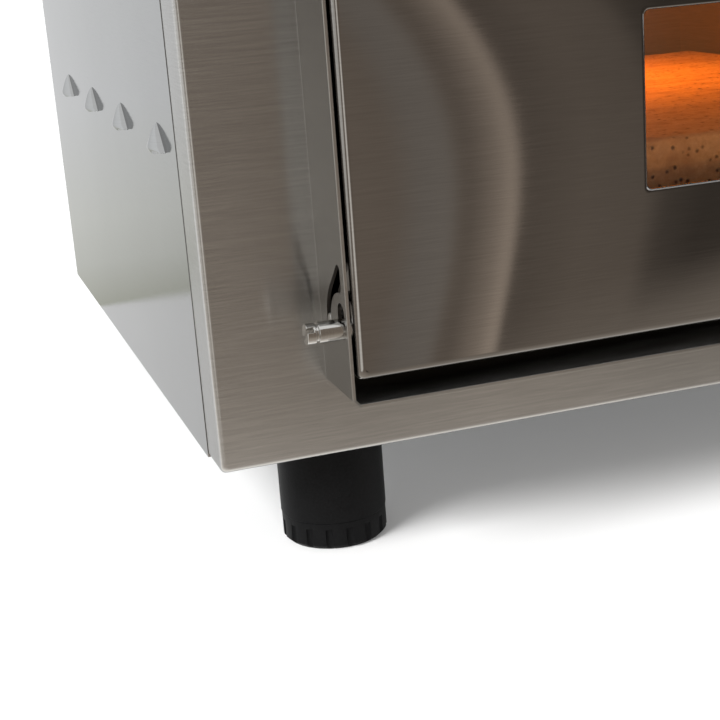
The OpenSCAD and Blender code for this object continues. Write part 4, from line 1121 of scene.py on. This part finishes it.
# %% [markdown]
# Rocker marks
# A line for on and a ring for off are printed on the two faces of each rocker. They are thin
# plates laid on the sloping faces and ride with the rocker.

# %% Rocker marks
ROCKER_REST = math.radians(-10)
ROCKER_REACH, ROCKER_DIP, ROCKER_HALF = 8 * MM, 5 * MM, 11 * MM
ROCKER_MARK, RING_HOLE, LINE_HALF = 2.4 * MM, 1.6 * MM, 0.5 * MM


def rocker_face(pivot, side):
    """Matrix on a rocker's face whose Z points out and X points up the face."""
    tilt = Matrix.Translation(pivot) @ Matrix.Rotation(ROCKER_REST, 4, "X")
    middle = Vector((0, -(ROCKER_REACH + ROCKER_DIP) / 2, side * ROCKER_HALF / 2))
    along = Vector((0, -(ROCKER_REACH - ROCKER_DIP) * side, ROCKER_HALF)).normalized()
    out = along.cross(Vector((1, 0, 0)))
    return tilt @ facing(middle, out if out.y < 0 else -out, along)


def ring_plate(outer, inner, steps=40):
    angles = [2 * math.pi * k / steps for k in range(steps)]
    rows = ((outer, 0), (outer, PRINT_T), (inner, PRINT_T), (inner, 0))
    return loft([[(r * math.cos(a), r * math.sin(a), z) for a in angles] for r, z in rows])


for switch in ("main", "lamp"):
    pivot = PIVOT[switch + "_rocker_tilt"]
    line = bar(switch + "_on_mark", WHITE_PRINT,
               (-ROCKER_MARK, -LINE_HALF, 0), (ROCKER_MARK, LINE_HALF, PRINT_T))
    line.data.transform(rocker_face(pivot, -1))
    off = object_from(ring_plate(ROCKER_MARK, RING_HOLE), switch + "_off_mark", WHITE_PRINT)
    off.data.transform(rocker_face(pivot, 1))
    for mark in (line, off):
        on_body(mark, switch + "_rocker", "ceramic")

# %% [markdown]
# Screws
# The solids of the screws say where each one stands, which way it looks and how wide its head
# is. A tree puts a cross-recessed pan head on each of those points.

# %% One screw
HEAD_D, HEAD_H, SHANK_R, SHANK_LEN = 7.5 * MM, 2.2 * MM, 1.7 * MM, 7 * MM
HEAD_WALL, HEAD_FLAT = 0.7 * MM, 0.35
RECESS_L, RECESS_W, RECESS_DEEP, RECESS_TAPER = 4.2 * MM, 0.95 * MM, 1.3 * MM, 0.6
RECESS_OVER = 0.5 * MM


def model_screw():
    radius = HEAD_D / 2
    dome = [(HEAD_WALL + (HEAD_H - HEAD_WALL) * s, radius * (HEAD_FLAT + (1 - HEAD_FLAT) * c))
            for s, c in quarter_turn(ROUND_STEPS)]
    outline = [(-SHANK_LEN, 0), (-SHANK_LEN, SHANK_R), (0, SHANK_R), (0, radius)] + dome + [(HEAD_H, 0)]
    screw = turned("screw", PLATED_STEEL, outline, (0, 0, 0), (0, 0, 1), SMALL_TURN_STEPS)
    cross = bmesh.new()
    corners = []
    half_l, half_w = RECESS_L / 2, RECESS_W / 2
    for k in range(4):
        a = math.pi / 2 * k
        for u, v in ((half_l, -half_w), (half_l, half_w), (half_w, half_w)):
            corners.append((u * math.cos(a) - v * math.sin(a), u * math.sin(a) + v * math.cos(a)))
    slab(cross, [(x * RECESS_TAPER, y * RECESS_TAPER, HEAD_H - RECESS_DEEP) for x, y in corners],
         [(x, y, HEAD_H + RECESS_OVER) for x, y in corners])
    cut_by(screw, object_from(outward(cross), "recess", PLATED_STEEL))
    smooth(screw.data, CREASE)
    return screw


SCREW = model_screw()
print("screw modelled with", len(SCREW.data.polygons), "faces")

# %% Screws on points
def islands(mesh):
    """Groups of vertices that hang together, as lists of points."""
    shape = bmesh.new()
    shape.from_mesh(mesh)
    bmesh.ops.remove_doubles(shape, verts=shape.verts, dist=SAME_POINT)
    left = set(shape.verts)
    groups = []
    while left:
        todo = [left.pop()]
        group = []
        while todo:
            vert = todo.pop()
            group.append(vert.co.copy())
            for edge in vert.link_edges:
                other = edge.other_vert(vert)
                if other in left:
                    left.remove(other)
                    todo.append(other)
        groups.append(group)
    shape.free()
    return groups


HEAD_SHARE = 0.45


def screw_stand(points):
    """Seat of the head, direction out of the head and head width of one screw solid."""
    lo = Vector(min(p[k] for p in points) for k in range(3))
    hi = Vector(max(p[k] for p in points) for k in range(3))
    size = hi - lo
    axis = max(range(3), key=lambda k: abs(size[k] - (size[(k + 1) % 3] + size[(k + 2) % 3]) / 2))
    middle = (lo + hi) / 2
    width = size[(axis + 1) % 3]
    wide = [p[axis] for p in points
            if math.hypot(p[(axis + 1) % 3] - middle[(axis + 1) % 3],
                          p[(axis + 2) % 3] - middle[(axis + 2) % 3]) > width * HEAD_SHARE]
    outward = 1 if sum(wide) / len(wide) > middle[axis] else -1
    seat = middle.copy()
    seat[axis] = min(wide) if outward > 0 else max(wide)
    aim = Vector((0, 0, 0))
    aim[axis] = outward
    return seat, aim, width


def screw_tree():
    tree, given, end = new_tree("screws_on_points", [
        ("Screw", "Object"), ("Seed", "Int"), ("Finish", "Material")])
    aim = add(tree, "GeometryNodeInputNamedAttribute", [("Name", "aim")], data_type="FLOAT_VECTOR")
    size = add(tree, "GeometryNodeInputNamedAttribute", [("Name", "size")], data_type="FLOAT")
    facing_out = add(tree, "FunctionNodeAlignRotationToVector", [("Vector", aim.outputs["Attribute"])],
                     axis="Z")
    twist = add(tree, "FunctionNodeRandomValue", [("Seed", given["Seed"])], data_type="FLOAT")
    by_id(twist.inputs)["Max_001"].default_value = 2 * math.pi
    angle = by_id(twist.outputs)["Value_001"]
    spin = add(tree, "FunctionNodeAxisAngleToRotation", [("Axis", (0, 0, 1)), ("Angle", angle)])
    turned_out = add(tree, "FunctionNodeRotateRotation",
                     [("Rotation", facing_out.outputs["Rotation"]), ("Rotate By", spin.outputs["Rotation"])],
                     rotation_space="LOCAL")
    points = add(tree, "GeometryNodeMeshToPoints", [("Mesh", given["Geometry"])])
    piece = add(tree, "GeometryNodeObjectInfo", [("Object", given["Screw"])])
    copies = add(tree, "GeometryNodeInstanceOnPoints",
                 [("Points", points.outputs[0]), ("Instance", piece.outputs["Geometry"]),
                  ("Rotation", turned_out.outputs["Rotation"]), ("Scale", size.outputs["Attribute"])])
    return finish_tree(tree, end, given, copies)


SCREW_TREE = screw_tree()
SCREW_SEED = 7


def set_screws(node):
    stands = sorted((screw_stand(group) for group in islands(NODES[node].data)), key=lambda s: tuple(s[0]))
    mesh = bpy.data.meshes.new(node + "_spots")
    mesh.from_pydata([seat for seat, _, _ in stands], [], [])
    mesh.attributes.new("aim", "FLOAT_VECTOR", "POINT")
    mesh.attributes.new("size", "FLOAT", "POINT")
    for k, (_, aim, width) in enumerate(stands):
        mesh.attributes["aim"].data[k].vector = aim
        mesh.attributes["size"].data[k].value = width / HEAD_D
    screws = with_tree(node + "_set", SCREW_TREE, mesh,
                       {"Screw": SCREW, "Seed": SCREW_SEED, "Finish": PLATED_STEEL})
    in_place_of(node, screws)
    print(len(stands), "screws set for", node)


for node in ("case_screws", "door_screws"):
    set_screws(node)
bpy.data.objects.remove(SCREW)

# %% [markdown]
# Cable gland
# The gland's cap is gripped by hand, so it has ribs. They are a ring of small bars again.

# %% Gland ribs
GLAND_RIBS = 14
GLAND_RIB_SINK, GLAND_RIB_OUT, GLAND_RIB_HALF = 0.6 * MM, 0.9 * MM, 0.9 * MM
GLAND_FLANGE, GLAND_FLANGE_H, GLAND_TIP = 1.5 * MM, 7 * MM, 3 * MM
gland_lo, gland_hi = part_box("cable_gland")
gland_axis = box_middle("cable_gland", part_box("back_panel")[1].y)
gland_r = (gland_hi.x - gland_lo.x) / 2 - GLAND_FLANGE
gland_out = gland_hi.y - gland_axis.y
rib = bar("gland_rib", BLACK_PLASTIC, (-GLAND_RIB_SINK, -GLAND_RIB_HALF, GLAND_FLANGE_H),
          (GLAND_RIB_OUT, GLAND_RIB_HALF, gland_out - GLAND_TIP), RIB_ROUND)
gland_ribs = ring_of("gland_ribs", rib, GLAND_RIBS, gland_r, 2 * math.pi, BLACK_PLASTIC,
                     facing(gland_axis, (0, 1, 0), (0, 0, 1)))
on_body(gland_ribs, "case", "black_plastic")

# %% [markdown]
# Floor and world
# A pale floor runs out to a white world. To the camera and in reflections the floor also gives
# off a little light of its own, so that it reads as white while the oven's shadow stays on it.

# %% Floor
FLOOR_COLOUR = (0.80, 0.80, 0.80)
FLOOR_OWN_LIGHT = 0.13


def seen_directly(tree):
    """1 for rays from the camera, mirrors and glass, and 0 for diffuse light."""
    path = add(tree, "ShaderNodeLightPath").outputs
    mirrored = maths(tree, "MAXIMUM", path["Is Camera Ray"], path["Is Glossy Ray"])
    return maths(tree, "MAXIMUM", mirrored, path["Is Transmission Ray"])


def floor_finish():
    mat, tree, shader, coords = start_material("floor")
    duller = tuple(v * 0.99 for v in FLOOR_COLOUR)
    feed(tree, shader, {
        "Base Color": ramp(tree, noise(tree, coords, 3.0, 2.0, 0.5), [(0.0, duller), (1.0, FLOOR_COLOUR)]),
        "Roughness": 0.9, "Specular IOR Level": 0.0, "Emission Color": (1.0, 1.0, 1.0, 1.0),
        "Emission Strength": remap(tree, seen_directly(tree), 0.0, FLOOR_OWN_LIGHT, 0.0, 1.0)})
    return mat


def sheet(name, points, faces, material):
    """A plain sheet with one material."""
    mesh = bpy.data.meshes.new(name)
    mesh.from_pydata(points, [], faces)
    mesh.materials.append(material)
    return in_scene(name, mesh)


FLOOR_HALF = 8.0
floor_corners = [(x * FLOOR_HALF, y * FLOOR_HALF, 0) for x, y in ((-1, -1), (1, -1), (1, 1), (-1, 1))]
floor = sheet("floor", floor_corners, [(0, 1, 2, 3)], floor_finish())
print("floor made")

# %% World
SKY_LIGHT = 0.36
world = bpy.data.worlds.new("studio")
bpy.context.scene.world = world
world.use_nodes = True
tree = world.node_tree
feed(tree, tree.nodes["Background"], {
    "Color": (1.0, 1.0, 1.0, 1.0), "Strength": remap(tree, seen_directly(tree), SKY_LIGHT, 1.0, 0.0, 1.0)})
print("world made")

# %% [markdown]
# Lamps
# A wide sun from the front left gives the soft shadow under the oven. A small lamp under the
# chamber's roof and another behind the window stand for the glow of the elements on the stone.

# %% Lamps
def aimed(name, data, place, target):
    obj = in_scene(name, data)
    aim = (Vector(target) - Vector(place)).to_track_quat("-Z", "Y")
    obj.matrix_world = Matrix.Translation(place) @ aim.to_matrix().to_4x4()
    return obj


SUN_FROM, SUN_POWER, SUN_WIDE = (-0.715, -0.322, 0.62), 4.4, math.radians(30)
sun = bpy.data.lights.new("sun", "SUN")
sun.energy = SUN_POWER
sun.angle = SUN_WIDE
aimed("sun", sun, SUN_FROM, (0, 0, 0)).visible_glossy = False

ROOF_GLOW_SIZE, ROOF_GLOW_POWER, ROOF_GLOW_COLOUR = (0.26, 0.16), 0.62, (1.0, 0.21, 0.006)
FRONT_GLOW_POWER, FRONT_GLOW_COLOUR = 0.032, (1.0, 0.38, 0.10)
GLOW_UP, GLOW_BACK = 70 * MM, 60 * MM
stone_lo, stone_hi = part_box("baking_stone")
stone_mid = (stone_lo + stone_hi) / 2


def warm_lamp(name, place, target, size, energy, colour):
    data = bpy.data.lights.new(name, "AREA")
    data.shape = "RECTANGLE"
    data.size, data.size_y = size
    data.energy = energy
    data.color = colour
    aimed(name, data, place, target).visible_camera = False


glow_x, glow_y = stone_mid.x, stone_mid.y + GLOW_BACK
warm_lamp("roof_glow", (glow_x, glow_y, stone_hi.z + GLOW_UP), (glow_x, glow_y, stone_hi.z),
          ROOF_GLOW_SIZE, ROOF_GLOW_POWER, ROOF_GLOW_COLOUR)
window_x, window_z = (WINDOW[0] + WINDOW[1]) / 2, (WINDOW[2] + WINDOW[3]) / 2
warm_lamp("front_glow", (window_x, door_hi.y + EDGE, window_z), (window_x, stone_lo.y, window_z),
          (WINDOW[1] - WINDOW[0], WINDOW[3] - WINDOW[2]), FRONT_GLOW_POWER, FRONT_GLOW_COLOUR)
print("lamps set")

# %% [markdown]
# What the steel reflects
# The front card lies on the floor and stands up far off. Its streaks are a fan of lines through
# the camera's mirror image, so that each one shows upright in the door: a list gives the place in
# the fan, the level of light and how cool it is. A second card behind the oven is the wall that
# the polished side mirrors.

# %% Tones of the cards
CARD_NEAR, CARD_FAR, CARD_SIDE, CARD_HIGH, CARD_LIFT = -0.19, -2.6, 3.0, 2.6, 3 * MM
CARD_DEPTH = (-2.2, -0.2)
CARD_TONE = [(0.0, (1.5, 1.45, 1.38)), (0.02, (0.95, 0.90, 0.84)), (0.045, (0.55, 0.49, 0.43)),
             (0.10, (0.41, 0.355, 0.30)), (0.15, (0.30, 0.253, 0.21)), (0.20, (0.242, 0.2, 0.164)),
             (1.0, (0.218, 0.179, 0.147))]
MIRROR_X, MIRROR_Y = CAMERA_AT[0], 2 * door_lo.y - CAMERA_AT[1]
FAN_FROM, FAN_TO = -0.5, 0.7
FAN = [(-0.40, 3.4, 0.18), (-0.32, 1.2, 0.05), (-0.16, 1.1, 0.0), (-0.06, 4.6, 0.17), (0.06, 4.6, 0.16),
       (0.16, 1.05, 0.0), (0.21, 1.08, 0.0), (0.28, 0.95, 0.0), (0.31, 1.1, 0.0), (0.338, 1.05, 0.0),
       (0.360, 1.15, 0.08), (0.384, 1.25, 0.08), (0.391, 0.98, 0.0), (0.400, 0.92, 0.0), (0.410, 1.2, 0.0),
       (0.424, 1.7, 0.0), (0.434, 2.4, 0.0), (0.437, 2.4, 0.0), (0.441, 0.75, 0.0), (0.452, 0.72, 0.0),
       (0.496, 0.9, 0.0), (0.545, 0.85, 0.0), (0.563, 0.5, 0.0), (0.597, 0.33, 0.0)]
FAN_FADES_IN = (0.12, 0.18)
NEAR_DIM, NEAR_DIM_ACROSS = 0.83, (0.62, 0.69)
WALL_Y, WALL_HIGH, WALL_TONE_HIGH = 0.37, 1.4, 0.2
WALL_TONE = [(0.0, (0.72, 0.73, 0.64)), (0.06, (0.80, 0.81, 0.73)), (0.18, (0.95, 0.96, 0.90)),
             (0.35, (1.05, 1.06, 1.01)), (0.8, (1.14, 1.15, 1.16))]
print("fan of", len(FAN), "stops")

# %% Cards
def lit_finish(name):
    """A finish that only gives off light: material, tree, emission node and the place in X, Y and Z."""
    mat, tree, shader, coords = start_material(name)
    tree.nodes.remove(shader)
    lit = add(tree, "ShaderNodeEmission")
    feed(tree, tree.nodes["Material Output"], {"Surface": lit.outputs["Emission"]})
    return mat, tree, lit, along_axes(tree, coords)


def card_finish():
    mat, tree, lit, place = lit_finish("card")
    depth = remap(tree, place["Y"], 1.0, 0.0, *CARD_DEPTH)
    tone = ramp(tree, depth, CARD_TONE)
    along = maths(tree, "SUBTRACT", place["X"], MIRROR_X)
    away = maths(tree, "SUBTRACT", MIRROR_Y, place["Y"])
    fan = remap(tree, maths(tree, "DIVIDE", along, away), 0.0, 1.0, FAN_FROM, FAN_TO)
    stops = [((at - FAN_FROM) / (FAN_TO - FAN_FROM), (level, level * (1 + cool), level * (1 + 2 * cool)))
             for at, level, cool in FAN]
    streaks = ramp(tree, fan, stops)
    fade = remap(tree, depth, 0.0, 1.0, *FAN_FADES_IN)
    dimmed = mixed(tree, 1.0, tone, remap(tree, fan, 1.0, NEAR_DIM, *NEAR_DIM_ACROSS), "MULTIPLY")
    feed(tree, lit, {"Color": mixed(tree, fade, mixed(tree, fade, dimmed, tone), streaks, "MULTIPLY")})
    return mat


def wall_finish():
    mat, tree, lit, place = lit_finish("wall")
    feed(tree, lit, {"Color": ramp(tree, remap(tree, place["Z"], 0.0, 1.0, 0.0, WALL_TONE_HIGH), WALL_TONE)})
    return mat


def glossy_card(name, points, faces, material):
    """Sheet that only shows in reflections."""
    card = sheet(name, points, faces, material)
    for way in ("camera", "diffuse", "shadow", "transmission"):
        setattr(card, "visible_" + way, False)


card_edges = ((CARD_NEAR, CARD_LIFT), (CARD_FAR, CARD_LIFT), (CARD_FAR, CARD_HIGH))
glossy_card("card", [(x, y, z) for y, z in card_edges for x in (-CARD_SIDE, CARD_SIDE)],
            [(0, 1, 3, 2), (2, 3, 5, 4)], card_finish())
glossy_card("wall", [(x, WALL_Y, z) for z in (0, WALL_HIGH) for x in (-CARD_SIDE, CARD_SIDE)],
            [(0, 1, 3, 2)], wall_finish())
print("cards set")
